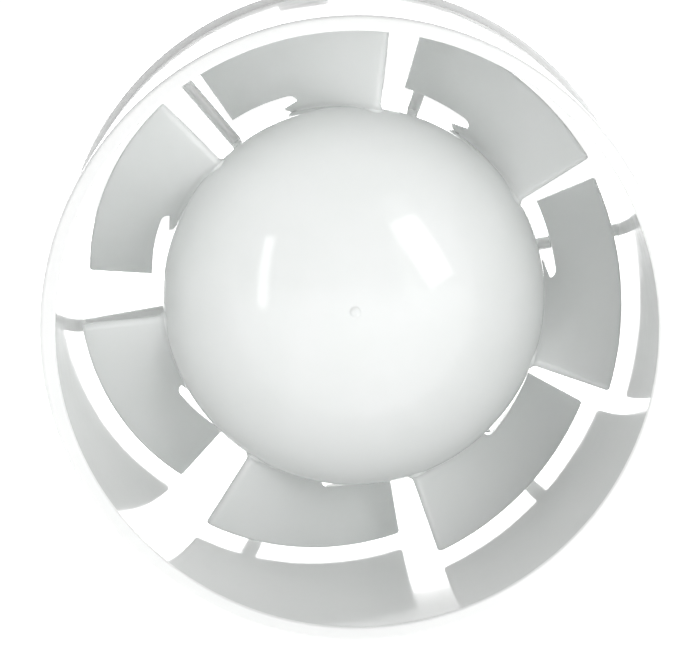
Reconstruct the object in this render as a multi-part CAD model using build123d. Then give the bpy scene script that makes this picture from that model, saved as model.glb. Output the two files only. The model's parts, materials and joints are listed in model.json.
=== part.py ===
"""In-line bathroom extractor fan for a round duct, built as separate parts.

All sizes are in millimetres.  The fan axis is the Y axis.  Y is the depth
behind the intake rim, so air enters at Y = 0 and leaves at the far end.
X points right and Z points up for someone looking into the intake.
Angles are counter-clockwise from X for that same person.
"""
import math
import os

from build123d import *

# ---------------------------------------------------------------- casing
DUCT_RADIUS = 50.0
CASING_LENGTH = 100.0
CASING_WALL = 2.5
BORE_STEP_DEPTH = 61.0
BORE_STEP = 0.6
BAND_FRONT = 64.0
BAND_LENGTH = 13.0
BAND_HEIGHT = 1.2
BAND_EDGE = 0.4
RIM_OUTER_ROUND = 0.7
RIM_INNER_ROUND = 0.4
BORE_RADIUS = DUCT_RADIUS - CASING_WALL
REAR_BORE_RADIUS = BORE_RADIUS + BORE_STEP

# ---------------------------------------------------------------- struts
STRUT_COUNT = 6
STRUT_FIRST_ANGLE = 10.2
STRUT_WIDTH = 2.2
STRUT_DEPTH = 4.0
STRUT_EDGE_ROUND = 1.0
STRUT_BLADE_GAP = 2.9

# ---------------------------------------------------------------- impeller
BLADE_COUNT = 7
TIP_GAP = 1.5
TIP_RADIUS = BORE_RADIUS - TIP_GAP
HUB_COVER = 3.8
HUB_WALL = 1.8
DOME_FRONT = 22.0
DOME_DEPTH = 17.0
SKIRT_LENGTH = 12.0
SKIRT_FRONT = DOME_FRONT + DOME_DEPTH
SKIRT_BACK = SKIRT_FRONT + SKIRT_LENGTH
GATE_PIP_RADIUS = 0.9
GATE_PIP_HEIGHT = 0.3
BLADE_FRONT = 37.2
BLADE_AXIAL_CHORD = 21.1
BLADE_LEAD_ANGLE = 82.5
BLADE_SPAN_ANGLE = 43.7
BLADE_THICKNESS = 1.6
BLADE_CAMBER = 0.15
BLADE_STATIONS = 9
BLADE_SLOT_WIDTH = 2.7
BLADE_SLOT_LEAD = 1.2
BOSS_RADIUS = 6.6
HUB_RIB_THICKNESS = 1.3
HUB_RIB_LENGTH = 8.0
BUSH_RADIUS = 4.0
BUSH_END_WALL = 1.0
COLLAR_LENGTH = 3.0
COLLAR_SEAT_RADIUS = 5.4
COLLAR_GAP_WIDTH = 1.5

# ---------------------------------------------------------------- motor can
CAN_RADIUS = 28.5
CAN_WALL = 2.0
CAN_FRONT = 53.0
CAN_FRONT_WALL = 2.5
CAN_EDGE_ROUND = 1.6
TERMINAL_CHAMBER_LENGTH = 11.5
SHOULDER_WIDTH = 0.8
CAN_BORE = CAN_RADIUS - CAN_WALL
CAN_INNER_FACE = CAN_FRONT + CAN_FRONT_WALL
CAN_NARROW_BORE = CAN_BORE - SHOULDER_WIDTH

# ---------------------------------------------------------------- shaft and bearings
SHAFT_RADIUS = 2.0
SHAFT_FRONT = 37.0
SHAFT_TAIL = 2.0
SHAFT_BEVEL = 0.4
RUNNING_CLEARANCE = 0.03
BEARING_RADIUS = 4.5
BEARING_LENGTH = 5.5
BEARING_BEVEL = 0.3
BEARING_SEAT_WALL = 3.5
BEARING_FRONT_WALL = 1.0
FELT_THICKNESS = 1.4
BEARING_NOSE = 1.5
RETAINER_THICKNESS = 0.5
RETAINER_TOOTH = 0.8
RETAINER_TEETH = 8
AXIAL_PLAY = 0.2
THRUST_WASHER = 0.8
THRUST_WASHER_RADIUS = 3.4
CLIP_THICKNESS = 0.6
CLIP_RADIUS = 3.8
CLIP_GROOVE_DEPTH = 0.4
CLIP_EYE_RADIUS = 0.6
CLIP_EYE_INSET = 0.7
CLIP_EYE_ANGLES = (100.0, 260.0)
CLIP_CLEARANCE = 0.4
SHAFT_HOLE_CLEARANCE = 0.8

# ---------------------------------------------------------------- stator and rotor
STATOR_FRONT = 62.0
STATOR_LENGTH = 14.0
STATOR_BACK = STATOR_FRONT + STATOR_LENGTH
STATOR_MIDDLE = STATOR_FRONT + STATOR_LENGTH / 2
STATOR_FIT = 0.7
POLE_COUNT = 4
YOKE_WIDTH = 4.6
POLE_NECK_WIDTH = 7.0
SHOE_THICKNESS = 2.7
AIR_GAP = 0.3
ROTOR_RADIUS = 10.2
SHOE_GAP_WIDTH = 2.6
END_RING_LENGTH = 1.5
CAGE_BAR_COUNT = 14
CAGE_BAR_RADIUS = 0.8
CAGE_BAR_ROOT = 0.5
CAGE_CIRCLE_RADIUS = 8.6
END_RING_WIDTH = 3.0
SHADING_ANGLE = 20.0
SHADING_SLOT_WIDTH = 1.5
SHADING_SLOT_DEPTH = 2.4
SHADING_LEG_INSET = 1.3
SHADING_WIRE = 0.8
SHADING_RADIAL = 1.6

# ---------------------------------------------------------------- coils
COIL_FIT = 0.1
SPOOL_WALL = 0.8
FLANGE_THICKNESS = 0.8
FLANGE_HALF_WIDTH = 7.0
FLANGE_MARGIN = 0.4
SPOOL_SHOE_GAP = 0.6
SPOOL_YOKE_GAP = 1.6
COIL_BUILD = 2.2
COIL_CORNER = 2.0

# ---------------------------------------------------------------- screws
SCREW_RADIUS = 1.45
SCREW_HEAD_RADIUS = 2.7
SCREW_HEAD_HEIGHT = 1.8
SCREW_HEAD_ROUND_SHARE = 0.4
SCREW_SLOT_WIDTH = 0.7
SCREW_SLOT_DEPTH = 0.9
SCREW_BITE = 5.0
CAP_SCREW_BITE = 4.0
SCREW_BOSS_WALL = 1.5
STATOR_SCREW_EDGE = 2.3
STATOR_SCREW_FIRST = 45.0
CAP_SCREW_COUNT = 3
CAP_SCREW_EDGE = 3.4
CAP_SCREW_FIRST = 30.0
CAP_SCREW_FIT = 0.15
SMALL_SCREW_RADIUS = 1.0
SMALL_HEAD_RADIUS = 1.8
SMALL_HEAD_HEIGHT = 1.1
SMALL_SCREW_FIT = 0.1

# ---------------------------------------------------------------- rear end of the motor
END_PLATE_FIT = 0.1
END_PLATE_THICKNESS = 2.0
END_PLATE_FRONT = STATOR_BACK + 6.5
END_PLATE_BACK = END_PLATE_FRONT + END_PLATE_THICKNESS
CAP_THICKNESS = 2.5
CAP_EDGE_ROUND = 1.6
CAP_LIP_LENGTH = 1.0
CAP_LIP_WIDTH = 1.5
CAP_SCREW_RECESS = 2.0

# ---------------------------------------------------------------- supply connection
CABLE_ANGLE = 100.0
CORD_RADIUS = 3.0
CABLE_HOLE_RADIUS = 4.0
GROMMET_FLANGE_RADIUS = 4.8
GROMMET_FLANGE = 1.2
CHAMBER_CABLE_OFFSET = 5.7
CLAMP_INSET = 10.5
CLAMP_LENGTH = 15.0
CLAMP_WIDTH = 5.0
CLAMP_CORNER = 0.8
CLAMP_PINCH = 0.2
CLAMP_SPLIT = 0.4
CLAMP_TOP = 3.6
CLAMP_SCREW_OFFSET = 5.4
TERMINAL_BLOCK_WIDTH = 18.0
TERMINAL_BLOCK_HEIGHT = 10.0
TERMINAL_BLOCK_DEPTH = 9.0
TERMINAL_BLOCK_RISE = 7.6
TERMINAL_BLOCK_CORNER = 1.0
TERMINAL_NOTCH_WIDTH = 1.6
TERMINAL_NOTCH_DEPTH = 3.0
TERMINAL_OFFSET = 4.5
TERMINAL_RADIUS = 1.9
TERMINAL_BORE = 1.3
TERMINAL_WIRE_OFFSET = 4.5
TERMINAL_SCREW_RADIUS = 1.1
TERMINAL_SCREW_SPACING = 5.0
TERMINAL_SCREW_SUNK = 0.6
TERMINAL_SLOT_WIDTH = 0.5
TERMINAL_SLOT_DEPTH = 0.7
TERMINAL_WELL_WALL = 0.4
LEAD_RADIUS = 0.6
LEAD_ENTRY = 2.0
LEAD_BEND = 1.3
LEAD_HOLE_RADIUS = 1.2
LEAD_DROP = 0.9
LEAD_DEPTH = STATOR_BACK + 4.9
LINK_RADIUS = 0.4
LINK_BEND = 0.9
LINK_REACH = 3.4
NEUTRAL_SIDESTEP = 1.0
FUSE_LENGTH = 8.0
FUSE_MIDDLE_X = -2.0
FUSE_CORNER = 0.6
LIVE_END_X = 1.0
FUSE_WIDTH = 3.4
FUSE_HEIGHT = 2.6

# ---------------------------------------------------------------- derived sizes
BAND_RADIUS = DUCT_RADIUS + BAND_HEIGHT
CASING_CABLE_DEPTH = BAND_FRONT + BAND_LENGTH / 2
HUB_RADIUS = CAN_RADIUS + HUB_COVER
STRUT_FRONT = BLADE_FRONT + BLADE_AXIAL_CHORD + STRUT_BLADE_GAP
CAN_BACK = END_PLATE_BACK + TERMINAL_CHAMBER_LENGTH
CAP_BACK = CAN_BACK + CAP_THICKNESS
YOKE_RADIUS = CAN_NARROW_BORE - STATOR_FIT
SHOE_INNER_RADIUS = ROTOR_RADIUS + AIR_GAP
SHOE_OUTER_RADIUS = SHOE_INNER_RADIUS + SHOE_THICKNESS
FRONT_BEARING_FRONT = CAN_FRONT + BEARING_FRONT_WALL
FRONT_BEARING_BACK = FRONT_BEARING_FRONT + BEARING_LENGTH
ROTOR_FRONT = STATOR_FRONT - END_RING_LENGTH
ROTOR_BACK = STATOR_BACK + END_RING_LENGTH
REAR_BEARING_FRONT = ROTOR_BACK + THRUST_WASHER + AXIAL_PLAY
REAR_BEARING_BACK = REAR_BEARING_FRONT + BEARING_LENGTH
SHAFT_BACK = REAR_BEARING_BACK + SHAFT_TAIL
BUSH_FRONT = SHAFT_FRONT - BUSH_END_WALL
SEAT_RADIUS = BEARING_RADIUS + BEARING_SEAT_WALL
FELT_RADIUS = BEARING_RADIUS + FELT_THICKNESS
SPOOL_INNER_RADIUS = SHOE_OUTER_RADIUS + SPOOL_SHOE_GAP
SPOOL_OUTER_RADIUS = YOKE_RADIUS - YOKE_WIDTH - SPOOL_YOKE_GAP
COIL_INNER = SPOOL_INNER_RADIUS + FLANGE_THICKNESS
COIL_OUTER = SPOOL_OUTER_RADIUS - FLANGE_THICKNESS
COIL_RADIUS = (COIL_INNER + COIL_OUTER) / 2
SPOOL_HALF_WIDTH = POLE_NECK_WIDTH / 2 + COIL_FIT + SPOOL_WALL
SPOOL_HALF_LENGTH = STATOR_LENGTH / 2 + COIL_FIT + SPOOL_WALL
COIL_BACK = STATOR_MIDDLE + SPOOL_HALF_LENGTH + COIL_BUILD
STATOR_SCREW_CIRCLE = YOKE_RADIUS - STATOR_SCREW_EDGE
CAP_SCREW_CIRCLE = CAN_BORE - CAP_SCREW_EDGE
CAP_BOSS_FRONT = END_PLATE_FRONT - CAP_SCREW_BITE
CHAMBER_CABLE_DEPTH = END_PLATE_BACK + CHAMBER_CABLE_OFFSET
CLAMP_DISTANCE = CAN_BORE - CLAMP_INSET
TERMINAL_BLOCK_TOP = TERMINAL_BLOCK_RISE - COIL_RADIUS
TERMINAL_BLOCK_BOTTOM = TERMINAL_BLOCK_TOP - TERMINAL_BLOCK_HEIGHT
TERMINAL_BLOCK_BACK = END_PLATE_BACK + TERMINAL_BLOCK_DEPTH
TERMINAL_MIDDLE_Z = TERMINAL_BLOCK_TOP - TERMINAL_BLOCK_HEIGHT / 2
TERMINAL_WIRE_DEPTH = END_PLATE_BACK + TERMINAL_WIRE_OFFSET
TERMINAL_SCREW_TIP = TERMINAL_WIRE_DEPTH + LEAD_RADIUS
TERMINAL_SCREW_TOP = TERMINAL_BLOCK_BACK - TERMINAL_SCREW_SUNK
LEAD_Z = TERMINAL_BLOCK_BOTTOM - LEAD_DROP
LEAD_START_Z = TERMINAL_BLOCK_BOTTOM + LEAD_ENTRY
NEUTRAL_X = NEUTRAL_SIDESTEP - COIL_RADIUS
LIVE_END_Z = -COIL_RADIUS - FUSE_WIDTH / 2
EPS = 1.0


def drum(radius, front, back):
    """A cylinder on the fan axis between two depths."""
    length = back - front
    return Pos(0, front + length / 2, 0) * Rot(90, 0, 0) * Cylinder(radius, length)


def tube(outer, inner, front, back):
    """A hollow cylinder on the fan axis."""
    return drum(outer, front, back) - drum(inner, front - EPS, back + EPS)


def block(x_range, y_range, z_range):
    """A box given by its limits along each axis."""
    size = [high - low for low, high in (x_range, y_range, z_range)]
    middle = [(high + low) / 2 for low, high in (x_range, y_range, z_range)]
    return Pos(*middle) * Box(*size)


def turned(shape, angle):
    """The shape turned about the fan axis, counter-clockwise for the viewer."""
    return Rot(0, -angle, 0) * shape


def post(radius, distance, angle, front, back):
    """A cylinder beside the fan axis, parallel to it."""
    return turned(Pos(distance, 0, 0) * drum(radius, front, back), angle)


def spoke(radius, inner, outer, depth, angle):
    """A radial cylinder that runs outwards at one angle."""
    length = outer - inner
    rod = Pos(inner + length / 2, depth, 0) * Rot(0, 90, 0) * Cylinder(radius, length)
    return turned(rod, angle)


def pan_screw(radius, head_radius, head_height, tip, seat):
    """A screw along the fan axis, its tip in front and its slotted head behind."""
    head = drum(head_radius, seat, seat + head_height)
    head = fillet(head.edges().group_by(Axis.Y)[-1], head_height * SCREW_HEAD_ROUND_SHARE)
    screw = head + drum(radius, tip, seat)
    slot_front = seat + head_height - SCREW_SLOT_DEPTH * head_height / SCREW_HEAD_HEIGHT
    slot = block(
        (-head_radius - EPS, head_radius + EPS),
        (slot_front, seat + head_height + EPS),
        (-SCREW_SLOT_WIDTH / 2, SCREW_SLOT_WIDTH / 2),
    )
    return screw - slot


def ring_angles(count, first):
    """Equally spaced angles that start at the first one."""
    return [first + 360.0 / count * index for index in range(count)]


STATOR_SCREW_ANGLES = ring_angles(POLE_COUNT, STATOR_SCREW_FIRST)
CAP_SCREW_ANGLES = ring_angles(CAP_SCREW_COUNT, CAP_SCREW_FIRST)


# ---------------------------------------------------------------- casing moulding
def make_strut(angle):
    """One slim radial strut with rounded long edges."""
    strut = block(
        (CAN_BORE + CAN_WALL / 2, REAR_BORE_RADIUS + (DUCT_RADIUS - REAR_BORE_RADIUS) / 2),
        (STRUT_FRONT, STRUT_FRONT + STRUT_DEPTH),
        (-STRUT_WIDTH / 2, STRUT_WIDTH / 2),
    )
    return turned(fillet(strut.edges().filter_by(Axis.X), STRUT_EDGE_ROUND), angle)


def make_casing():
    """The duct tube, the struts and the motor can as one moulding."""
    shell = drum(DUCT_RADIUS, 0, CASING_LENGTH)
    shell -= drum(BORE_RADIUS, -EPS, CASING_LENGTH + EPS)
    shell -= drum(REAR_BORE_RADIUS, BORE_STEP_DEPTH, CASING_LENGTH + EPS)
    rims = shell.edges().filter_by(GeomType.CIRCLE)
    outer_rims = rims.filter_by(lambda edge: edge.radius > DUCT_RADIUS - 0.1)
    shell = fillet(outer_rims, RIM_OUTER_ROUND)
    front_rim = shell.edges().filter_by(GeomType.CIRCLE).filter_by(
        lambda edge: abs(edge.radius - BORE_RADIUS) < 0.01 and edge.center().Y < EPS
    )
    shell = fillet(front_rim, RIM_INNER_ROUND)

    can = drum(CAN_RADIUS, CAN_FRONT, CAN_BACK)
    can = fillet(can.edges().group_by(Axis.Y)[0], CAN_EDGE_ROUND)
    can -= drum(CAN_NARROW_BORE, CAN_INNER_FACE, CAN_BACK + EPS)
    can -= drum(CAN_BORE, END_PLATE_FRONT, CAN_BACK + EPS)
    can += drum(SEAT_RADIUS, CAN_FRONT, FRONT_BEARING_BACK + RETAINER_THICKNESS)
    can -= drum(BEARING_RADIUS, FRONT_BEARING_FRONT, FRONT_BEARING_BACK + EPS)
    can -= drum(SHAFT_RADIUS + SHAFT_HOLE_CLEARANCE, CAN_FRONT - EPS, FRONT_BEARING_BACK)
    can -= drum(FELT_RADIUS, FRONT_BEARING_FRONT + BEARING_NOSE, FRONT_BEARING_BACK + EPS)

    boss_radius = SCREW_RADIUS + SCREW_BOSS_WALL
    for angle in STATOR_SCREW_ANGLES:
        can += post(boss_radius, STATOR_SCREW_CIRCLE, angle, CAN_INNER_FACE - EPS, STATOR_FRONT)
        can -= post(SCREW_RADIUS, STATOR_SCREW_CIRCLE, angle, STATOR_FRONT - SCREW_BITE, STATOR_BACK)
    for angle in CAP_SCREW_ANGLES:
        can += post(boss_radius, CAP_SCREW_CIRCLE, angle, CAP_BOSS_FRONT, END_PLATE_FRONT)
        can -= post(SCREW_RADIUS, CAP_SCREW_CIRCLE, angle, CAP_BOSS_FRONT - EPS, END_PLATE_FRONT + EPS)

    band = drum(BAND_RADIUS, BAND_FRONT, BAND_FRONT + BAND_LENGTH)
    band = fillet(band.edges().filter_by(GeomType.CIRCLE), BAND_EDGE)
    band -= drum(DUCT_RADIUS - EPS, BAND_FRONT - EPS, BAND_FRONT + BAND_LENGTH + EPS)
    casing = shell + band + can
    for angle in ring_angles(STRUT_COUNT, STRUT_FIRST_ANGLE):
        casing += make_strut(angle)
    casing -= spoke(
        CABLE_HOLE_RADIUS, REAR_BORE_RADIUS - EPS, BAND_RADIUS + EPS, CASING_CABLE_DEPTH, CABLE_ANGLE
    )
    casing -= spoke(
        CABLE_HOLE_RADIUS, CAN_BORE - EPS, CAN_RADIUS + EPS, CHAMBER_CABLE_DEPTH, CABLE_ANGLE
    )
    return casing


def make_grommet(wall_inner, wall_outer, depth):
    """A rubber grommet snapped into a curved wall, open for the supply cord."""
    plug = spoke(
        GROMMET_FLANGE_RADIUS, wall_inner - 2 * GROMMET_FLANGE, wall_outer + 2 * GROMMET_FLANGE,
        depth, CABLE_ANGLE,
    )
    front = depth - 2 * GROMMET_FLANGE_RADIUS
    back = depth + 2 * GROMMET_FLANGE_RADIUS
    flanges = plug & tube(wall_inner, wall_inner - GROMMET_FLANGE, front, back)
    flanges += plug & tube(wall_outer + GROMMET_FLANGE, wall_outer, front, back)
    neck = spoke(
        CABLE_HOLE_RADIUS, wall_inner - GROMMET_FLANGE / 2, wall_outer + GROMMET_FLANGE / 2,
        depth, CABLE_ANGLE,
    )
    cord_way = spoke(
        CORD_RADIUS, wall_inner - 4 * GROMMET_FLANGE, wall_outer + 4 * GROMMET_FLANGE,
        depth, CABLE_ANGLE,
    )
    return flanges + neck - cord_way


# ---------------------------------------------------------------- impeller
def blade_depth(share):
    """Depth of the blade middle surface at a share of the way back."""
    return BLADE_FRONT + BLADE_AXIAL_CHORD * (share - BLADE_CAMBER * share * (1 - share))


def blade_section(distance):
    """The closed blade outline in a plane across the blade's middle ray."""
    edge_round = BLADE_THICKNESS / 2
    round_angle = math.degrees(edge_round / TIP_RADIUS)
    half_span = BLADE_SPAN_ANGLE / 2 - round_angle
    middle = []
    for station in range(BLADE_STATIONS):
        share = station / (BLADE_STATIONS - 1)
        angle = math.radians(half_span * (2 * share - 1))
        middle.append((blade_depth(share), distance * math.tan(angle)))
    front_side = []
    back_side = []
    for station, (depth, across) in enumerate(middle):
        before = middle[max(station - 1, 0)]
        after = middle[min(station + 1, BLADE_STATIONS - 1)]
        run = (after[0] - before[0], after[1] - before[1])
        size = math.hypot(*run)
        normal = (run[1] / size * edge_round, -run[0] / size * edge_round)
        front_side.append((distance, depth - normal[0], across - normal[1]))
        back_side.append((distance, depth + normal[0], across + normal[1]))
        if station == 0:
            nose = (distance, depth - run[0] / size * edge_round, across - run[1] / size * edge_round)
        tail = (distance, depth + run[0] / size * edge_round, across + run[1] / size * edge_round)
    outline = Spline(*front_side)
    outline += ThreePointArc(front_side[-1], tail, back_side[-1])
    outline += Spline(*reversed(back_side))
    outline += ThreePointArc(back_side[0], nose, front_side[0])
    return make_face(outline)


def make_blade():
    """One blade about the X axis, trimmed to the tip circle and slotted at its tail."""
    inner_plane = HUB_RADIUS - 3 * HUB_WALL
    blade = loft([blade_section(inner_plane), blade_section(TIP_RADIUS + EPS)], ruled=True)
    front = BLADE_FRONT - 2 * BLADE_THICKNESS
    back = BLADE_FRONT + BLADE_AXIAL_CHORD + 2 * BLADE_THICKNESS
    blade &= drum(TIP_RADIUS, front, back)
    blade -= drum(HUB_RADIUS - HUB_WALL / 2, front - EPS, back + EPS)
    slot_outer = HUB_RADIUS + BLADE_SLOT_WIDTH
    blade -= drum(slot_outer, SKIRT_BACK, back + EPS)
    slot_middle = HUB_RADIUS + BLADE_SLOT_WIDTH / 2
    slot_share = (SKIRT_BACK - BLADE_SLOT_LEAD - BLADE_FRONT) / BLADE_AXIAL_CHORD
    slot_angle = BLADE_SPAN_ANGLE * (slot_share - 0.5)
    cutter = tube(slot_outer, HUB_RADIUS, front, back)
    cutter &= turned(block((0, TIP_RADIUS), (front, back), (0, TIP_RADIUS)), slot_angle)
    cutter += post(BLADE_SLOT_WIDTH / 2, slot_middle, slot_angle, front, back)
    return blade - cutter


def make_impeller():
    """The domed hub, its inner ribs and boss, and the seven blades."""
    outer_dome = Pos(0, SKIRT_FRONT, 0) * EllipticalCenterArc(
        (0, 0), HUB_RADIUS, DOME_DEPTH, start_angle=-90, arc_size=90
    )
    outer = outer_dome
    outer += Line((HUB_RADIUS, SKIRT_FRONT), (HUB_RADIUS, SKIRT_BACK))
    outer += Line((HUB_RADIUS, SKIRT_BACK), (0, SKIRT_BACK))
    outer += Line((0, SKIRT_BACK), (0, DOME_FRONT))
    hub_blank = revolve(make_face(outer), axis=Axis.Y)

    inner = Pos(0, SKIRT_FRONT, 0) * EllipticalCenterArc(
        (0, 0), HUB_RADIUS - HUB_WALL, DOME_DEPTH - HUB_WALL, start_angle=-90, arc_size=90
    )
    inner += Line((HUB_RADIUS - HUB_WALL, SKIRT_FRONT), (HUB_RADIUS - HUB_WALL, SKIRT_BACK + EPS))
    inner += Line((HUB_RADIUS - HUB_WALL, SKIRT_BACK + EPS), (0, SKIRT_BACK + EPS))
    inner += Line((0, SKIRT_BACK + EPS), (0, DOME_FRONT + HUB_WALL))
    hollow = revolve(make_face(inner), axis=Axis.Y)

    hub = hub_blank - hollow
    hub += drum(GATE_PIP_RADIUS, DOME_FRONT - GATE_PIP_HEIGHT, DOME_FRONT + HUB_WALL / 2)
    ribs = block(
        (BOSS_RADIUS / 2, HUB_RADIUS - HUB_WALL / 2),
        (DOME_FRONT, SKIRT_FRONT + HUB_RIB_LENGTH),
        (-HUB_RIB_THICKNESS / 2, HUB_RIB_THICKNESS / 2),
    ) & hub_blank
    for angle in ring_angles(BLADE_COUNT, BLADE_LEAD_ANGLE):
        hub += turned(ribs, angle)
    hub += drum(BOSS_RADIUS, DOME_FRONT + HUB_WALL / 2, SKIRT_BACK)
    hub -= drum(BUSH_RADIUS, BUSH_FRONT, SKIRT_BACK + EPS)
    hub -= tube(BOSS_RADIUS + EPS, COLLAR_SEAT_RADIUS, SKIRT_BACK - COLLAR_LENGTH, SKIRT_BACK + EPS)

    blade = make_blade()
    for angle in ring_angles(BLADE_COUNT, BLADE_LEAD_ANGLE + BLADE_SPAN_ANGLE / 2):
        hub += turned(blade, angle)
    return hub


def make_bush():
    """The brass bush moulded into the hub boss that takes the shaft."""
    bush = drum(BUSH_RADIUS, BUSH_FRONT, SKIRT_BACK)
    return bush - drum(SHAFT_RADIUS, SHAFT_FRONT, SKIRT_BACK + EPS)


def make_collar():
    """The split spring collar that squeezes the hub boss on to the bush."""
    collar = tube(BOSS_RADIUS + COIL_FIT, COLLAR_SEAT_RADIUS, SKIRT_BACK - COLLAR_LENGTH, SKIRT_BACK)
    gap = block(
        (0, 2 * BOSS_RADIUS), (SKIRT_FRONT, SKIRT_BACK + EPS),
        (-COLLAR_GAP_WIDTH / 2, COLLAR_GAP_WIDTH / 2),
    )
    return collar - gap


# ---------------------------------------------------------------- rotor
def make_shaft():
    """The ground steel shaft with its clip groove and bevelled ends."""
    shaft = drum(SHAFT_RADIUS, SHAFT_FRONT, SHAFT_BACK)
    shaft = chamfer(shaft.edges().filter_by(GeomType.CIRCLE), SHAFT_BEVEL)
    groove = REAR_BEARING_BACK + AXIAL_PLAY
    return shaft - tube(
        SHAFT_RADIUS + EPS, SHAFT_RADIUS - CLIP_GROOVE_DEPTH, groove, groove + CLIP_THICKNESS
    )


def make_shaft_clip():
    """The E-clip that keeps the shaft from moving forwards."""
    front = REAR_BEARING_BACK + AXIAL_PLAY
    clip = tube(CLIP_RADIUS, SHAFT_RADIUS - CLIP_GROOVE_DEPTH, front, front + CLIP_THICKNESS)
    mouth = SHAFT_RADIUS - CLIP_GROOVE_DEPTH
    clip -= block((0, 2 * CLIP_RADIUS), (front - EPS, front + EPS), (-mouth, mouth))
    for angle in CLIP_EYE_ANGLES:
        clip -= post(CLIP_EYE_RADIUS, CLIP_RADIUS - CLIP_EYE_INSET, angle, front - EPS, front + EPS)
    return clip


def make_rotor_core():
    """The rotor stack with a hole for each cage bar."""
    core = tube(ROTOR_RADIUS, SHAFT_RADIUS, STATOR_FRONT, STATOR_BACK)
    for angle in ring_angles(CAGE_BAR_COUNT, 0.0):
        core -= post(CAGE_BAR_RADIUS, CAGE_CIRCLE_RADIUS, angle, STATOR_FRONT - EPS, STATOR_BACK + EPS)
    return core


def make_rotor_cage():
    """The cast aluminium cage: an end ring at each end joined by bars."""
    outer = ROTOR_RADIUS - COIL_FIT
    inner = outer - END_RING_WIDTH
    cage = tube(outer, inner, ROTOR_FRONT, STATOR_FRONT)
    cage += tube(outer, inner, STATOR_BACK, ROTOR_BACK)
    for angle in ring_angles(CAGE_BAR_COUNT, 0.0):
        cage += post(
            CAGE_BAR_RADIUS, CAGE_CIRCLE_RADIUS, angle,
            STATOR_FRONT - CAGE_BAR_ROOT, STATOR_BACK + CAGE_BAR_ROOT,
        )
    return cage


def make_spacer(front, back):
    """A nylon thrust washer or spacer on the shaft."""
    return tube(THRUST_WASHER_RADIUS, SHAFT_RADIUS, front, back)


# ---------------------------------------------------------------- stator
def make_stator():
    """The stator stack: a yoke, four poles with shoes, shading slots and screw holes."""
    core = tube(YOKE_RADIUS, YOKE_RADIUS - YOKE_WIDTH, STATOR_FRONT, STATOR_BACK)
    shoes = tube(SHOE_OUTER_RADIUS, SHOE_INNER_RADIUS, STATOR_FRONT, STATOR_BACK)
    depth_range = (STATOR_FRONT - EPS, STATOR_BACK + EPS)
    for angle in ring_angles(POLE_COUNT, 360.0 / POLE_COUNT / 2):
        gap = block((0, SHOE_OUTER_RADIUS + EPS), depth_range, (-SHOE_GAP_WIDTH / 2, SHOE_GAP_WIDTH / 2))
        shoes -= turned(gap, angle)
    for angle in ring_angles(POLE_COUNT, 0.0):
        neck = block(
            (SHOE_OUTER_RADIUS - EPS, YOKE_RADIUS - YOKE_WIDTH / 2),
            (STATOR_FRONT, STATOR_BACK),
            (-POLE_NECK_WIDTH / 2, POLE_NECK_WIDTH / 2),
        )
        slot = block(
            (0, SHOE_INNER_RADIUS + SHADING_SLOT_DEPTH), depth_range,
            (-SHADING_SLOT_WIDTH / 2, SHADING_SLOT_WIDTH / 2),
        )
        shoes += turned(neck, angle)
        shoes -= turned(slot, angle + SHADING_ANGLE)
    core += shoes
    for angle in STATOR_SCREW_ANGLES:
        core -= post(
            SCREW_RADIUS + CAP_SCREW_FIT, STATOR_SCREW_CIRCLE, angle, depth_range[0], depth_range[1]
        )
    return core


def make_shading_ring(angle):
    """A copper loop round the trailing part of one pole shoe."""
    gap_angle = 360.0 / POLE_COUNT / 2
    leg_radius = SHOE_INNER_RADIUS + SHADING_LEG_INSET
    half_angle = math.radians((gap_angle - SHADING_ANGLE) / 2)
    half_chord = leg_radius * math.sin(half_angle)
    distance = leg_radius * math.cos(half_angle)
    radial = (distance - SHADING_RADIAL / 2, distance + SHADING_RADIAL / 2)
    outer = block(
        radial,
        (STATOR_FRONT - SHADING_WIRE, STATOR_BACK + SHADING_WIRE),
        (-half_chord - SHADING_WIRE / 2, half_chord + SHADING_WIRE / 2),
    )
    inner = block(
        (0, 2 * distance),
        (STATOR_FRONT, STATOR_BACK),
        (-half_chord + SHADING_WIRE / 2, half_chord - SHADING_WIRE / 2),
    )
    return turned(outer - inner, angle + (gap_angle + SHADING_ANGLE) / 2)


def spool_layer(inner, outer, half_width, half_length):
    """A block round one pole neck, between two radii."""
    return block(
        (inner, outer),
        (STATOR_MIDDLE - half_length, STATOR_MIDDLE + half_length),
        (-half_width, half_width),
    )


def make_bobbin(angle):
    """The plastic spool that carries one coil."""
    inside_width = POLE_NECK_WIDTH / 2 + COIL_FIT
    inside_length = STATOR_LENGTH / 2 + COIL_FIT
    flange_length = SPOOL_HALF_LENGTH + COIL_BUILD + FLANGE_MARGIN
    spool = spool_layer(SPOOL_INNER_RADIUS, SPOOL_OUTER_RADIUS, SPOOL_HALF_WIDTH, SPOOL_HALF_LENGTH)
    for start in (SPOOL_INNER_RADIUS, SPOOL_OUTER_RADIUS - FLANGE_THICKNESS):
        flange = spool_layer(start, start + FLANGE_THICKNESS, FLANGE_HALF_WIDTH, flange_length)
        spool += fillet(flange.edges().filter_by(Axis.X), COIL_CORNER)
    spool -= spool_layer(0, YOKE_RADIUS, inside_width, inside_length)
    return turned(spool, angle)


def make_winding(angle):
    """One coil of enamelled wire as a solid ring with rounded corners."""
    coil = spool_layer(
        COIL_INNER, COIL_OUTER, SPOOL_HALF_WIDTH + COIL_BUILD, SPOOL_HALF_LENGTH + COIL_BUILD
    )
    coil = fillet(coil.edges().filter_by(Axis.X), COIL_CORNER)
    coil -= spool_layer(0, YOKE_RADIUS, SPOOL_HALF_WIDTH, SPOOL_HALF_LENGTH)
    return turned(coil, angle)


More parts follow.
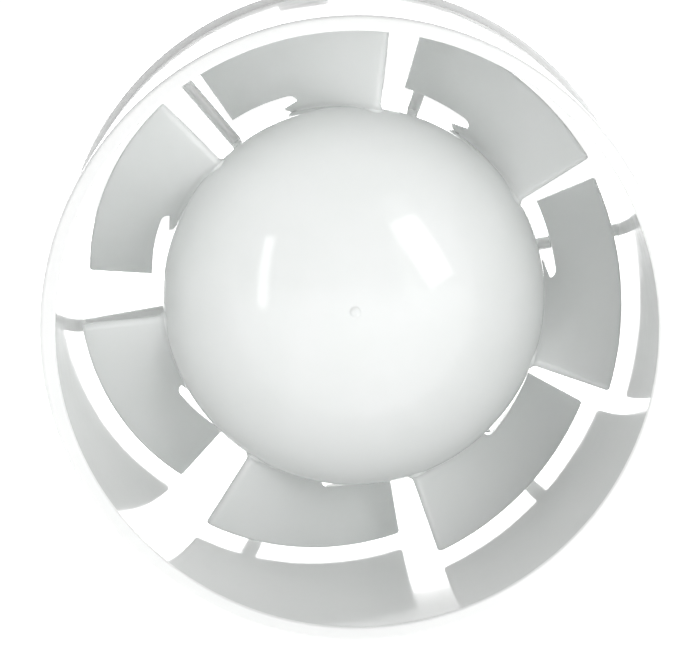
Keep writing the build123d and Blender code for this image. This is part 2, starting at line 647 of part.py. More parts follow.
# ---------------------------------------------------------------- wires
def make_wire(points, radius, bend):
    """A round insulated wire along straight runs joined by arcs."""
    path = FilletPolyline(*points, radius=bend)
    start = path @ 0
    profile = Plane(origin=start, z_dir=path % 0) * Circle(radius)
    return sweep(profile, path=path)


def make_link(angle):
    """The wire that joins the coil at one pole to the coil at the next."""
    step = math.radians(360.0 / POLE_COUNT)
    first = (COIL_RADIUS, LINK_REACH)
    second = (
        COIL_RADIUS * math.cos(step) + LINK_REACH * math.sin(step),
        COIL_RADIUS * math.sin(step) - LINK_REACH * math.cos(step),
    )
    points = [
        (first[0], COIL_BACK, first[1]),
        (first[0], LEAD_DEPTH, first[1]),
        (second[0], LEAD_DEPTH, second[1]),
        (second[0], COIL_BACK, second[1]),
    ]
    return turned(make_wire(points, LINK_RADIUS, LINK_BEND), angle)


def make_live_lead():
    """The lead from the live terminal to the thermal fuse."""
    points = [
        (TERMINAL_OFFSET, TERMINAL_WIRE_DEPTH, LEAD_START_Z),
        (TERMINAL_OFFSET, TERMINAL_WIRE_DEPTH, LEAD_Z),
        (TERMINAL_OFFSET, LEAD_DEPTH, LEAD_Z),
        (LIVE_END_X, LEAD_DEPTH, LEAD_Z),
        (LIVE_END_X, LEAD_DEPTH, LIVE_END_Z),
    ]
    return make_wire(points, LEAD_RADIUS, LEAD_BEND)


def make_neutral_lead():
    """The lead from the neutral terminal to the last coil."""
    points = [
        (-TERMINAL_OFFSET, TERMINAL_WIRE_DEPTH, LEAD_START_Z),
        (-TERMINAL_OFFSET, TERMINAL_WIRE_DEPTH, LEAD_Z),
        (NEUTRAL_X, TERMINAL_WIRE_DEPTH, LEAD_Z),
        (NEUTRAL_X, LEAD_DEPTH, LEAD_Z),
        (NEUTRAL_X, LEAD_DEPTH, -LINK_REACH),
        (NEUTRAL_X, COIL_BACK, -LINK_REACH),
    ]
    return make_wire(points, LEAD_RADIUS, LEAD_BEND)


def make_fuse():
    """The flat thermal fuse that lies on the first coil."""
    fuse = block(
        (FUSE_MIDDLE_X - FUSE_LENGTH / 2, FUSE_MIDDLE_X + FUSE_LENGTH / 2),
        (COIL_BACK, COIL_BACK + FUSE_HEIGHT),
        (-COIL_RADIUS - FUSE_WIDTH / 2, -COIL_RADIUS + FUSE_WIDTH / 2),
    )
    return fillet(fuse.edges().filter_by(Axis.Y), FUSE_CORNER)


# ---------------------------------------------------------------- bearings
def make_bearing(front):
    """A sintered bronze sleeve bearing."""
    bearing = drum(BEARING_RADIUS, front, front + BEARING_LENGTH)
    bearing = chamfer(bearing.edges().filter_by(GeomType.CIRCLE), BEARING_BEVEL)
    return bearing - drum(SHAFT_RADIUS + RUNNING_CLEARANCE, front - EPS, front + BEARING_LENGTH + EPS)


def make_felt(front, back):
    """The oil-soaked felt ring round a bearing."""
    return tube(FELT_RADIUS, BEARING_RADIUS, front, back)


def make_retainer(front):
    """The toothed spring washer that holds a bearing and its felt in the seat."""
    inner = BEARING_RADIUS - RETAINER_TOOTH
    washer = tube(FELT_RADIUS, inner, front, front + RETAINER_THICKNESS)
    for angle in ring_angles(RETAINER_TEETH, 0.0):
        notch = block(
            (inner - EPS, BEARING_RADIUS + RETAINER_TOOTH / 2), (front - EPS, front + EPS),
            (-RETAINER_THICKNESS / 2, RETAINER_THICKNESS / 2),
        )
        washer -= turned(notch, angle)
    return washer


# ---------------------------------------------------------------- rear of the motor
def cord_clamp_block(front, back):
    """A block across the supply cord, hollowed for the cord that it grips."""
    shape = block(
        (CLAMP_DISTANCE - CLAMP_WIDTH / 2, CLAMP_DISTANCE + CLAMP_WIDTH / 2),
        (front, back),
        (-CLAMP_LENGTH / 2, CLAMP_LENGTH / 2),
    )
    shape = fillet(shape.edges().filter_by(Axis.Y), CLAMP_CORNER)
    cord = spoke(CORD_RADIUS - CLAMP_PINCH, 0, CAN_BORE - EPS, CHAMBER_CABLE_DEPTH, CABLE_ANGLE)
    return turned(shape, CABLE_ANGLE) - cord


def clamp_screw_at(offset, shape):
    """The shape moved from the fan axis to one clamp screw."""
    return turned(Pos(CLAMP_DISTANCE, 0, offset) * shape, CABLE_ANGLE)


def make_end_plate():
    """The plastic end plate with the rear bearing seat and the lower cord clamp."""
    plate = drum(CAN_BORE - END_PLATE_FIT, END_PLATE_FRONT, END_PLATE_BACK)
    plate += drum(SEAT_RADIUS, REAR_BEARING_FRONT - RETAINER_THICKNESS, REAR_BEARING_BACK)
    seat_front = REAR_BEARING_FRONT - RETAINER_THICKNESS - EPS
    plate -= drum(BEARING_RADIUS, seat_front, REAR_BEARING_BACK)
    plate -= drum(FELT_RADIUS, seat_front, REAR_BEARING_BACK - BEARING_NOSE)
    plate -= drum(CLIP_RADIUS + CLIP_CLEARANCE, END_PLATE_FRONT, REAR_BEARING_BACK + EPS)
    plate += cord_clamp_block(END_PLATE_FRONT + EPS, CHAMBER_CABLE_DEPTH - CLAMP_SPLIT / 2)
    for offset in (-CLAMP_SCREW_OFFSET, CLAMP_SCREW_OFFSET):
        hole = drum(SMALL_SCREW_RADIUS, END_PLATE_BACK + EPS / 2, CHAMBER_CABLE_DEPTH + EPS)
        plate -= clamp_screw_at(offset, hole)
    for angle in CAP_SCREW_ANGLES:
        plate -= post(
            SCREW_RADIUS + CAP_SCREW_FIT, CAP_SCREW_CIRCLE, angle,
            END_PLATE_FRONT - EPS, END_PLATE_BACK + EPS,
        )
    for x in (TERMINAL_OFFSET, NEUTRAL_X):
        hole = drum(LEAD_HOLE_RADIUS, END_PLATE_FRONT - EPS, END_PLATE_BACK + EPS)
        plate -= Pos(x, 0, LEAD_Z) * hole
    return plate


def make_cord_clamp():
    """The upper half of the cord clamp."""
    front = CHAMBER_CABLE_DEPTH + CLAMP_SPLIT / 2
    clamp = cord_clamp_block(front, CHAMBER_CABLE_DEPTH + CLAMP_TOP)
    for offset in (-CLAMP_SCREW_OFFSET, CLAMP_SCREW_OFFSET):
        hole = drum(
            SMALL_SCREW_RADIUS + SMALL_SCREW_FIT, front - EPS, CHAMBER_CABLE_DEPTH + CLAMP_TOP + EPS
        )
        clamp -= clamp_screw_at(offset, hole)
    return clamp


def make_cord_clamp_screws():
    """The two screws of the cord clamp."""
    screw = pan_screw(
        SMALL_SCREW_RADIUS, SMALL_HEAD_RADIUS, SMALL_HEAD_HEIGHT,
        END_PLATE_BACK + EPS, CHAMBER_CABLE_DEPTH + CLAMP_TOP,
    )
    return Compound([clamp_screw_at(offset, screw) for offset in (-CLAMP_SCREW_OFFSET, CLAMP_SCREW_OFFSET)])


def make_rear_cap():
    """The screwed cap that closes the terminal chamber, with three screw columns."""
    cap = drum(CAN_RADIUS, CAN_BACK, CAP_BACK)
    cap = fillet(cap.edges().group_by(Axis.Y)[-1], CAP_EDGE_ROUND)
    lip_radius = CAN_BORE - END_PLATE_FIT
    cap += tube(lip_radius, lip_radius - CAP_LIP_WIDTH, CAN_BACK - CAP_LIP_LENGTH, CAN_BACK + EPS / 2)
    for angle in CAP_SCREW_ANGLES:
        cap += post(
            SCREW_RADIUS + SCREW_BOSS_WALL, CAP_SCREW_CIRCLE, angle, END_PLATE_BACK, CAN_BACK + EPS
        )
        cap -= post(
            SCREW_RADIUS + CAP_SCREW_FIT, CAP_SCREW_CIRCLE, angle, END_PLATE_BACK - EPS, CAP_BACK + EPS
        )
        cap -= post(
            SCREW_HEAD_RADIUS + CAP_SCREW_FIT, CAP_SCREW_CIRCLE, angle,
            CAP_BACK - CAP_SCREW_RECESS, CAP_BACK + EPS,
        )
    return cap


def make_cap_screws():
    """The three long screws that hold the rear cap and the end plate."""
    screw = pan_screw(
        SCREW_RADIUS, SCREW_HEAD_RADIUS, SCREW_HEAD_HEIGHT,
        CAP_BOSS_FRONT + EPS / 2, CAP_BACK - CAP_SCREW_RECESS,
    )
    return Compound([turned(Pos(CAP_SCREW_CIRCLE, 0, 0) * screw, angle) for angle in CAP_SCREW_ANGLES])


def make_stator_screws():
    """The four screws that clamp the stator stack against its bosses."""
    screw = pan_screw(
        SCREW_RADIUS, SCREW_HEAD_RADIUS, SCREW_HEAD_HEIGHT,
        STATOR_FRONT - SCREW_BITE, STATOR_BACK,
    )
    return Compound(
        [turned(Pos(STATOR_SCREW_CIRCLE, 0, 0) * screw, angle) for angle in STATOR_SCREW_ANGLES]
    )


# ---------------------------------------------------------------- terminals
def terminal_rod(x, radius, overrun):
    """A rod along Z through one terminal of the block."""
    length = TERMINAL_BLOCK_HEIGHT + 2 * overrun
    return Pos(x, TERMINAL_WIRE_DEPTH, TERMINAL_MIDDLE_Z) * Cylinder(radius, length)


def terminal_screw_places():
    """The X and Z position of each of the four terminal screws."""
    half = TERMINAL_SCREW_SPACING / 2
    return [
        (x, TERMINAL_MIDDLE_Z + shift)
        for x in (-TERMINAL_OFFSET, TERMINAL_OFFSET)
        for shift in (-half, half)
    ]


def make_terminal_block():
    """The two-way terminal block body with round wire ways and screw wells."""
    body = block(
        (-TERMINAL_BLOCK_WIDTH / 2, TERMINAL_BLOCK_WIDTH / 2),
        (END_PLATE_BACK, TERMINAL_BLOCK_BACK),
        (TERMINAL_BLOCK_BOTTOM, TERMINAL_BLOCK_TOP),
    )
    body = fillet(body.edges().filter_by(Axis.Y), TERMINAL_BLOCK_CORNER)
    for x in (-TERMINAL_OFFSET, TERMINAL_OFFSET):
        body -= terminal_rod(x, TERMINAL_RADIUS, EPS)
    for x, z in terminal_screw_places():
        well = drum(
            TERMINAL_SCREW_RADIUS + TERMINAL_WELL_WALL, TERMINAL_WIRE_DEPTH, TERMINAL_BLOCK_BACK + EPS
        )
        body -= Pos(x, 0, z) * well
    notch = block(
        (-TERMINAL_NOTCH_WIDTH / 2, TERMINAL_NOTCH_WIDTH / 2),
        (TERMINAL_BLOCK_BACK - TERMINAL_NOTCH_DEPTH, TERMINAL_BLOCK_BACK + EPS),
        (TERMINAL_BLOCK_BOTTOM - EPS, TERMINAL_BLOCK_TOP + EPS),
    )
    return body - notch


def make_terminal_sleeves():
    """The two brass sleeves, each with two tapped screw holes."""
    sleeves = []
    for x in (-TERMINAL_OFFSET, TERMINAL_OFFSET):
        sleeve = terminal_rod(x, TERMINAL_RADIUS, 0.0) - terminal_rod(x, TERMINAL_BORE, EPS)
        for screw_x, z in terminal_screw_places():
            if screw_x == x:
                hole = drum(
                    TERMINAL_SCREW_RADIUS, TERMINAL_WIRE_DEPTH,
                    TERMINAL_WIRE_DEPTH + TERMINAL_RADIUS + EPS,
                )
                sleeve -= Pos(x, 0, z) * hole
        sleeves.append(sleeve)
    return Compound(sleeves)


def make_terminal_screws():
    """The four slotted grub screws of the terminal block."""
    screw = drum(TERMINAL_SCREW_RADIUS, TERMINAL_SCREW_TIP, TERMINAL_SCREW_TOP)
    slot = block(
        (-2 * TERMINAL_SCREW_RADIUS, 2 * TERMINAL_SCREW_RADIUS),
        (TERMINAL_SCREW_TOP - TERMINAL_SLOT_DEPTH, TERMINAL_SCREW_TOP + EPS),
        (-TERMINAL_SLOT_WIDTH / 2, TERMINAL_SLOT_WIDTH / 2),
    )
    screw -= slot
    return Compound([Pos(x, 0, z) * screw for x, z in terminal_screw_places()])


# ---------------------------------------------------------------- the whole fan
def make_parts():
    """Every node of the fan by name."""
    parts = {
        "casing": make_casing(),
        "casing_cable_grommet": make_grommet(REAR_BORE_RADIUS, BAND_RADIUS, CASING_CABLE_DEPTH),
        "motor_cable_grommet": make_grommet(CAN_BORE, CAN_RADIUS, CHAMBER_CABLE_DEPTH),
        "impeller": make_impeller(),
        "impeller_bush": make_bush(),
        "impeller_collar": make_collar(),
        "motor_shaft": make_shaft(),
        "shaft_clip": make_shaft_clip(),
        "rotor_core": make_rotor_core(),
        "rotor_cage": make_rotor_cage(),
        "front_thrust_washer": make_spacer(FRONT_BEARING_BACK + AXIAL_PLAY, STATOR_FRONT),
        "rear_thrust_washer": make_spacer(STATOR_BACK, REAR_BEARING_FRONT - AXIAL_PLAY),
        "front_bearing": make_bearing(FRONT_BEARING_FRONT),
        "rear_bearing": make_bearing(REAR_BEARING_FRONT),
        "front_bearing_felt": make_felt(FRONT_BEARING_FRONT + BEARING_NOSE, FRONT_BEARING_BACK),
        "rear_bearing_felt": make_felt(REAR_BEARING_FRONT, REAR_BEARING_BACK - BEARING_NOSE),
        "front_bearing_retainer": make_retainer(FRONT_BEARING_BACK),
        "rear_bearing_retainer": make_retainer(REAR_BEARING_FRONT - RETAINER_THICKNESS),
        "stator_core": make_stator(),
        "stator_screws": make_stator_screws(),
        "motor_end_plate": make_end_plate(),
        "motor_rear_cap": make_rear_cap(),
        "rear_cap_screws": make_cap_screws(),
        "cord_clamp": make_cord_clamp(),
        "cord_clamp_screws": make_cord_clamp_screws(),
        "terminal_block": make_terminal_block(),
        "terminal_sleeves": make_terminal_sleeves(),
        "terminal_screws": make_terminal_screws(),
        "thermal_fuse": make_fuse(),
        "live_lead": make_live_lead(),
        "neutral_lead": make_neutral_lead(),
    }
    for index, angle in enumerate(ring_angles(POLE_COUNT, -90.0), start=1):
        parts[f"shading_ring_{index}"] = make_shading_ring(angle)
        parts[f"coil_bobbin_{index}"] = make_bobbin(angle)
        parts[f"coil_winding_{index}"] = make_winding(angle)
        if index < POLE_COUNT:
            parts[f"coil_link_{index}"] = make_link(angle)
    return parts


os.makedirs("parts", exist_ok=True)
for node, shape in make_parts().items():
    export_step(shape, f"parts/{node}.step")
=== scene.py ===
"""Looks of an in-line bathroom extractor fan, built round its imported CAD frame.

The fan axis is the row's Y axis.  The intake rim lies at depth zero and the air
leaves at the far end.  Sizes in the classes are in millimetres and are turned
into metres by the mesh helpers.
"""
from __future__ import annotations

import json
import logging
import math
from dataclasses import dataclass
from enum import Enum
import bmesh
import bpy
from mathutils import Matrix, Vector


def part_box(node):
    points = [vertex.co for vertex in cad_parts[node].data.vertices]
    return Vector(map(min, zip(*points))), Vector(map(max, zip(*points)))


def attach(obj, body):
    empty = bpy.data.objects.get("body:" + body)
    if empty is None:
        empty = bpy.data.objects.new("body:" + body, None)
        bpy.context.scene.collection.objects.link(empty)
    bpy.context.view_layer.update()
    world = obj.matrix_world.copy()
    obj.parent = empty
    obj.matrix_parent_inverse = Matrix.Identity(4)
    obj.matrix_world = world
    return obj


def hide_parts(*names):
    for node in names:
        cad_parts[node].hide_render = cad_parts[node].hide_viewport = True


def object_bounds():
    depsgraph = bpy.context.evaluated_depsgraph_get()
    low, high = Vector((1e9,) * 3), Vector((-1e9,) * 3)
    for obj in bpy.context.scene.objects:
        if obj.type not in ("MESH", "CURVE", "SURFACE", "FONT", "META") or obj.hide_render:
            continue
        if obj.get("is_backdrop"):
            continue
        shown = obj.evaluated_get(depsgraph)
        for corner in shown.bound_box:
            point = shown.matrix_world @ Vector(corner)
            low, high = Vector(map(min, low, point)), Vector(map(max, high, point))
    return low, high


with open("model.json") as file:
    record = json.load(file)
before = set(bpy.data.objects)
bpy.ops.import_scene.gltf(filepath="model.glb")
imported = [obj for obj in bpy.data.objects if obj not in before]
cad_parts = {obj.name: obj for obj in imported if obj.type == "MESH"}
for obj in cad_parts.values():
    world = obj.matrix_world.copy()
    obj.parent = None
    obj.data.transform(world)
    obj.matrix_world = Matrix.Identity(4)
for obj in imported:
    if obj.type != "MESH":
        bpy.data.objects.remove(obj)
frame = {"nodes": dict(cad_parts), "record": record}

LOG = logging.getLogger("extractor_fan")
MM = 0.001
CASING_BODY = "fan_casing"
ROTOR_BODY = "fan_rotor"

Point = tuple[float, float]
Corner = tuple[float, float, float]
Colour = tuple[float, float, float]


# ---------------------------------------------------------------- mesh helpers
def rounded(corners: list[Corner], steps: int = 5) -> list[Point]:
    """Round the corners of a closed outline.

    Args:
        corners: (radius, depth, rounding) of each corner, in order, in mm.
        steps: Number of straight runs that make one rounded corner.

    Returns:
        The (radius, depth) points of the closed outline.
    """
    outline: list[Point] = []
    count = len(corners)
    for index, (radius, depth, rounding) in enumerate(corners):
        here = Vector((radius, depth))
        if rounding <= 0.0:
            outline.append((radius, depth))
            continue
        before = (Vector(corners[index - 1][:2]) - here).normalized()
        after = (Vector(corners[(index + 1) % count][:2]) - here).normalized()
        half = before.angle(after) / 2
        reach = rounding / math.tan(half)
        centre = here + (before + after).normalized() * rounding / math.sin(half)
        start = here + before * reach - centre
        end = here + after * reach - centre
        sweep = start.angle(end)
        for step in range(steps + 1):
            share = step / steps
            blend = start * math.sin((1 - share) * sweep) + end * math.sin(share * sweep)
            point = centre + blend / math.sin(sweep)
            outline.append((point.x, point.y))
    return outline


def lathe(outline: list[Point], segments: int, closed: bool = True) -> bmesh.types.BMesh:
    """Turn an outline about the fan axis.

    Args:
        outline: (radius, depth) points in mm.
        segments: Number of steps round the axis.
        closed: Whether the last point joins the first one again.

    Returns:
        A new mesh in metres with its poles merged and its faces outwards.
    """
    mesh = bmesh.new()
    rings = []
    for step in range(segments):
        angle = 2 * math.pi * step / segments
        rings.append([
            mesh.verts.new((r * math.cos(angle) * MM, y * MM, r * math.sin(angle) * MM))
            for r, y in outline
        ])
    runs = len(outline) if closed else len(outline) - 1
    for step in range(segments):
        ring, following = rings[step], rings[(step + 1) % segments]
        for index in range(runs):
            other = (index + 1) % len(outline)
            mesh.faces.new((ring[index], ring[other], following[other], following[index]))
    bmesh.ops.remove_doubles(mesh, verts=mesh.verts, dist=1e-7)
    bmesh.ops.recalc_face_normals(mesh, faces=mesh.faces)
    return mesh


def skin(mesh: bmesh.types.BMesh, rows: list[list[bmesh.types.BMVert]]) -> None:
    """Join closed rows of points, each to the next one.

    Args:
        mesh: The mesh that owns the points.
        rows: Rows with the same number of points, in order.
    """
    count = len(rows[0])
    for row, following in zip(rows, rows[1:]):
        for index in range(count):
            other = (index + 1) % count
            mesh.faces.new((row[index], row[other], following[other], following[index]))


def make_object(name: str, mesh: bmesh.types.BMesh, sharp_degrees: float = 32.0) -> bpy.types.Object:
    """Store a mesh as a smooth-shaded object.

    Args:
        name: Name of the new object.
        mesh: The mesh to store; it is freed here.
        sharp_degrees: Edges that turn more than this stay crisp.

    Returns:
        The linked object, at the origin.
    """
    data = bpy.data.meshes.new(name)
    mesh.to_mesh(data)
    mesh.free()
    finish_shading(data, sharp_degrees)
    piece = bpy.data.objects.new(name, data)
    bpy.context.scene.collection.objects.link(piece)
    return piece


def finish_shading(data: bpy.types.Mesh, sharp_degrees: float) -> None:
    """Shade a mesh smoothly apart from its sharp edges.

    Args:
        data: The mesh to shade.
        sharp_degrees: Edges that turn more than this stay crisp.
    """
    data.polygons.foreach_set("use_smooth", [True] * len(data.polygons))
    data.set_sharp_from_angle(angle=math.radians(sharp_degrees))


def weigh_normals(piece: bpy.types.Object) -> None:
    """Keep flat faces flat between small rounded edges, by area-weighted normals."""
    modifier = piece.modifiers.new("even_shading", "WEIGHTED_NORMAL")
    modifier.keep_sharp = True
    modifier.weight = 80


def settle(piece: bpy.types.Object, name: str, sharp_degrees: float = 32.0) -> bpy.types.Object:
    """Turn an object with modifiers into a plain mesh object.

    Args:
        piece: The object whose evaluated shape is wanted; it is removed.
        name: Name of the plain piece.
        sharp_degrees: Edges that turn more than this stay crisp.

    Returns:
        The plain piece, at the origin, with no modifiers.
    """
    bpy.context.view_layer.update()
    graph = bpy.context.evaluated_depsgraph_get()
    data = bpy.data.meshes.new_from_object(piece.evaluated_get(graph), depsgraph=graph)
    data.transform(piece.matrix_world)
    bpy.data.objects.remove(piece)
    data.name = name
    finish_shading(data, sharp_degrees)
    plain = bpy.data.objects.new(name, data)
    bpy.context.scene.collection.objects.link(plain)
    return plain


def cut_away(piece: bpy.types.Object, tool: bpy.types.Object) -> None:
    """Subtract a closed tool from a piece.

    Args:
        piece: The piece to cut; its mesh is replaced.
        tool: The closed cutter; it is removed.
    """
    cut = piece.modifiers.new("cut", "BOOLEAN")
    cut.operation = "DIFFERENCE"
    cut.solver = "EXACT"
    cut.object = tool
    bpy.context.view_layer.update()
    graph = bpy.context.evaluated_depsgraph_get()
    data = bpy.data.meshes.new_from_object(piece.evaluated_get(graph), depsgraph=graph)
    piece.modifiers.remove(cut)
    piece.data = data
    bpy.data.objects.remove(tool)


def turned(angle: float) -> Matrix:
    """The turn about the fan axis, in degrees, counter-clockwise seen from the intake."""
    return Matrix.Rotation(math.radians(-angle), 4, "Y")


# ---------------------------------------------------------------- finishes
class Grain(Enum):
    """How the fine detail of a finish runs."""

    MOULDED = "even peel and flow marks of a moulded surface"
    LATHED = "fine rings round the fan axis"
    STACKED = "thin sheets stacked along the fan axis"
    SPECKLED = "small pits and specks"
    FIBROUS = "short tangled fibres"
    DRAWN = "long fine streaks along the fan axis"


@dataclass(frozen=True)
class Finish:
    """One surface finish, turned into a node material on demand."""

    name: str
    slot: str
    colour: Colour
    tint: Colour
    grain: Grain
    roughness: float
    roughness_spread: float
    grain_per_mm: float
    bump_mm: float
    metallic: float = 0.0
    worn: Colour | None = None
    coat: float = 0.0
    sheen: float = 0.0
    translucency: float = 0.0

    def material(self) -> bpy.types.Material:
        """The node material of this finish, made on first use."""
        found = bpy.data.materials.get(self.name)
        if found:
            return found
        made = bpy.data.materials.new(self.name)
        made.use_nodes = True
        FinishNodes(made.node_tree, self).build()
        return made


class FinishNodes:
    """Builds the shader nodes of one finish."""

    def __init__(self, tree: bpy.types.NodeTree, finish: Finish) -> None:
        """Clear the tree and keep the finish.

        Args:
            tree: The material's node tree.
            finish: The finish to build.
        """
        tree.nodes.clear()
        self.tree = tree
        self.finish = finish

    def node(self, kind: str, **settings: object) -> bpy.types.Node:
        """Add a node.

        Args:
            kind: Blender's node type.
            **settings: Properties of the node to set.

        Returns:
            The new node.
        """
        made = self.tree.nodes.new(kind)
        for key, value in settings.items():
            setattr(made, key, value)
        return made

    def link(self, output: bpy.types.NodeSocket, target: bpy.types.NodeSocket) -> None:
        """Join an output socket to an input socket."""
        self.tree.links.new(output, target)

    def here(self) -> bpy.types.NodeSocket:
        """The object coordinate."""
        return self.node("ShaderNodeTexCoord").outputs["Object"]

    def place(self, scale: Vector) -> bpy.types.NodeSocket:
        """Object coordinates, stretched along each axis.

        Args:
            scale: Number of pattern units per metre along each axis.

        Returns:
            The stretched coordinate.
        """
        mapping = self.node("ShaderNodeMapping")
        mapping.inputs["Scale"].default_value = scale
        self.link(self.here(), mapping.inputs["Vector"])
        return mapping.outputs["Vector"]

    def noise(self, vector: bpy.types.NodeSocket, detail: float, roughness: float) -> bpy.types.NodeSocket:
        """Noise over a coordinate.

        Args:
            vector: The coordinate.
            detail: Number of finer layers.
            roughness: Strength of the finer layers.

        Returns:
            The noise value.
        """
        made = self.node("ShaderNodeTexNoise")
        made.inputs["Scale"].default_value = 1.0
        made.inputs["Detail"].default_value = detail
        made.inputs["Roughness"].default_value = roughness
        self.link(vector, made.inputs["Vector"])
        return made.outputs["Fac"]

    def rings(self, per_mm: float) -> bpy.types.NodeSocket:
        """Noise that changes only with the distance from the fan axis."""
        parts = self.node("ShaderNodeSeparateXYZ")
        flat = self.node("ShaderNodeCombineXYZ")
        length = self.node("ShaderNodeVectorMath", operation="LENGTH")
        spread = self.node("ShaderNodeCombineXYZ")
        self.link(self.here(), parts.inputs["Vector"])
        self.link(parts.outputs["X"], flat.inputs["X"])
        self.link(parts.outputs["Z"], flat.inputs["Y"])
        self.link(flat.outputs["Vector"], length.inputs[0])
        self.link(length.outputs["Value"], spread.inputs["X"])
        self.link(parts.outputs["Y"], spread.inputs["Y"])
        mapping = self.node("ShaderNodeMapping")
        mapping.inputs["Scale"].default_value = Vector((1, 1, 1)) * per_mm / MM
        self.link(spread.outputs["Vector"], mapping.inputs["Vector"])
        return self.noise(mapping.outputs["Vector"], 2.0, 0.6)

    def sheets(self, per_mm: float) -> bpy.types.NodeSocket:
        """Thin bands stacked along the fan axis."""
        made = self.node("ShaderNodeTexWave", wave_type="BANDS", bands_direction="Y", wave_profile="SAW")
        made.inputs["Scale"].default_value = per_mm / MM / 20
        made.inputs["Distortion"].default_value = 0.4
        self.link(self.here(), made.inputs["Vector"])
        return made.outputs["Fac"]

    def fine_grain(self) -> bpy.types.NodeSocket:
        """The fine pattern that the finish's grain asks for."""
        per_m = self.finish.grain_per_mm / MM
        grain = self.finish.grain
        if grain is Grain.LATHED:
            return self.rings(self.finish.grain_per_mm)
        if grain is Grain.STACKED:
            return self.sheets(self.finish.grain_per_mm)
        if grain is Grain.SPECKLED:
            cells = self.node("ShaderNodeTexVoronoi")
            cells.inputs["Scale"].default_value = per_m
            self.link(self.here(), cells.inputs["Vector"])
            return cells.outputs["Distance"]
        if grain is Grain.FIBROUS:
            return self.noise(self.place(Vector((per_m, per_m * 0.35, per_m))), 6.0, 0.8)
        if grain is Grain.DRAWN:
            return self.noise(self.place(Vector((per_m, per_m * 0.04, per_m))), 3.0, 0.6)
        return self.noise(self.place(Vector((per_m, per_m, per_m))), 3.0, 0.5)

    def spread(self, value: bpy.types.NodeSocket, low: float, high: float) -> bpy.types.NodeSocket:
        """A value from a pattern, stretched to a range.

        Args:
            value: A value from 0 to 1.
            low: Result where the value is low.
            high: Result where the value is high.

        Returns:
            The stretched value.
        """
        made = self.node("ShaderNodeMapRange")
        made.inputs["From Min"].default_value = 0.3
        made.inputs["From Max"].default_value = 0.7
        made.inputs["To Min"].default_value = low
        made.inputs["To Max"].default_value = high
        self.link(value, made.inputs["Value"])
        return made.outputs["Result"]

    def mix(self, share: bpy.types.NodeSocket, low: object, high: object) -> bpy.types.NodeSocket:
        """Mix two colours, each a colour or a socket.

        Args:
            share: How much of the second colour there is.
            low: The first colour.
            high: The second colour.

        Returns:
            The mixed colour.
        """
        made = self.node("ShaderNodeMix", data_type="RGBA")
        for index, value in ((6, low), (7, high)):
            if isinstance(value, bpy.types.NodeSocket):
                self.link(value, made.inputs[index])
            else:
                made.inputs[index].default_value = (*value, 1.0)
        self.link(share, made.inputs[0])
        return made.outputs[2]

    def build(self) -> None:
        """Build the whole tree."""
        finish = self.finish
        shader = self.node("ShaderNodeBsdfPrincipled")
        output = self.node("ShaderNodeOutputMaterial")
        self.link(shader.outputs["BSDF"], output.inputs["Surface"])
        shader.inputs["Metallic"].default_value = finish.metallic
        shader.inputs["Coat Weight"].default_value = finish.coat
        shader.inputs["Coat Roughness"].default_value = 0.05
        shader.inputs["Sheen Weight"].default_value = finish.sheen
        shader.inputs["Subsurface Weight"].default_value = finish.translucency
        shader.inputs["Subsurface Radius"].default_value = (0.004, 0.004, 0.004)
        shader.inputs["Subsurface Scale"].default_value = 0.5
        shader.inputs["IOR"].default_value = 1.5

        cloud = self.noise(self.place(Vector((90, 90, 90))), 3.0, 0.55)
        grain = self.fine_grain()
        colour = self.mix(self.spread(cloud, 0.0, 1.0), finish.colour, finish.tint)
        if finish.worn is not None:
            geometry = self.node("ShaderNodeNewGeometry")
            edge = self.node("ShaderNodeMapRange")
            edge.inputs["From Min"].default_value = 0.52
            edge.inputs["From Max"].default_value = 0.60
            self.link(geometry.outputs["Pointiness"], edge.inputs["Value"])
            colour = self.mix(edge.outputs["Result"], colour, finish.worn)
        self.link(colour, shader.inputs["Base Color"])

        low = max(finish.roughness - finish.roughness_spread, 0.02)
        high = min(finish.roughness + finish.roughness_spread, 1.0)
        mixed = self.node("ShaderNodeMath", operation="ADD")
        halves = self.node("ShaderNodeMath", operation="MULTIPLY")
        halves.inputs[1].default_value = 0.5
        self.link(cloud, mixed.inputs[0])
        self.link(grain, mixed.inputs[1])
        self.link(mixed.outputs["Value"], halves.inputs[0])
        self.link(self.spread(halves.outputs["Value"], low, high), shader.inputs["Roughness"])

        bump = self.node("ShaderNodeBump")
        bump.inputs["Strength"].default_value = 1.0
        bump.inputs["Distance"].default_value = finish.bump_mm * MM
        self.link(grain, bump.inputs["Height"])
        self.link(bump.outputs["Normal"], shader.inputs["Normal"])


GLOSS_WHITE = Finish(
    "polished_white_abs", "white_abs_gloss", (0.815, 0.82, 0.815), (0.80, 0.81, 0.805), Grain.MOULDED,
    0.09, 0.03, 0.35, 0.006, translucency=0.06,
)
IMPELLER_WHITE = Finish(
    "satin_white_abs", "white_abs_impeller", (0.81, 0.825, 0.82), (0.79, 0.81, 0.80), Grain.MOULDED,
    0.09, 0.03, 0.5, 0.003, translucency=0.06,
)
GREY_RUBBER = Finish(
    "soft_grey_rubber", "grey_rubber", (0.075, 0.075, 0.08), (0.10, 0.10, 0.105), Grain.MOULDED,
    0.62, 0.12, 3.0, 0.02, worn=(0.16, 0.16, 0.165), sheen=0.1,
)
BRASS = Finish(
    "turned_brass", "brass", (0.62, 0.42, 0.16), (0.50, 0.32, 0.12), Grain.LATHED,
    0.28, 0.10, 12.0, 0.004, metallic=1.0, worn=(0.80, 0.62, 0.32),
)
SPRING_STEEL = Finish(
    "blued_spring_steel", "spring_steel", (0.16, 0.17, 0.20), (0.24, 0.23, 0.24), Grain.DRAWN,
    0.34, 0.10, 9.0, 0.004, metallic=1.0, worn=(0.50, 0.50, 0.52),
)
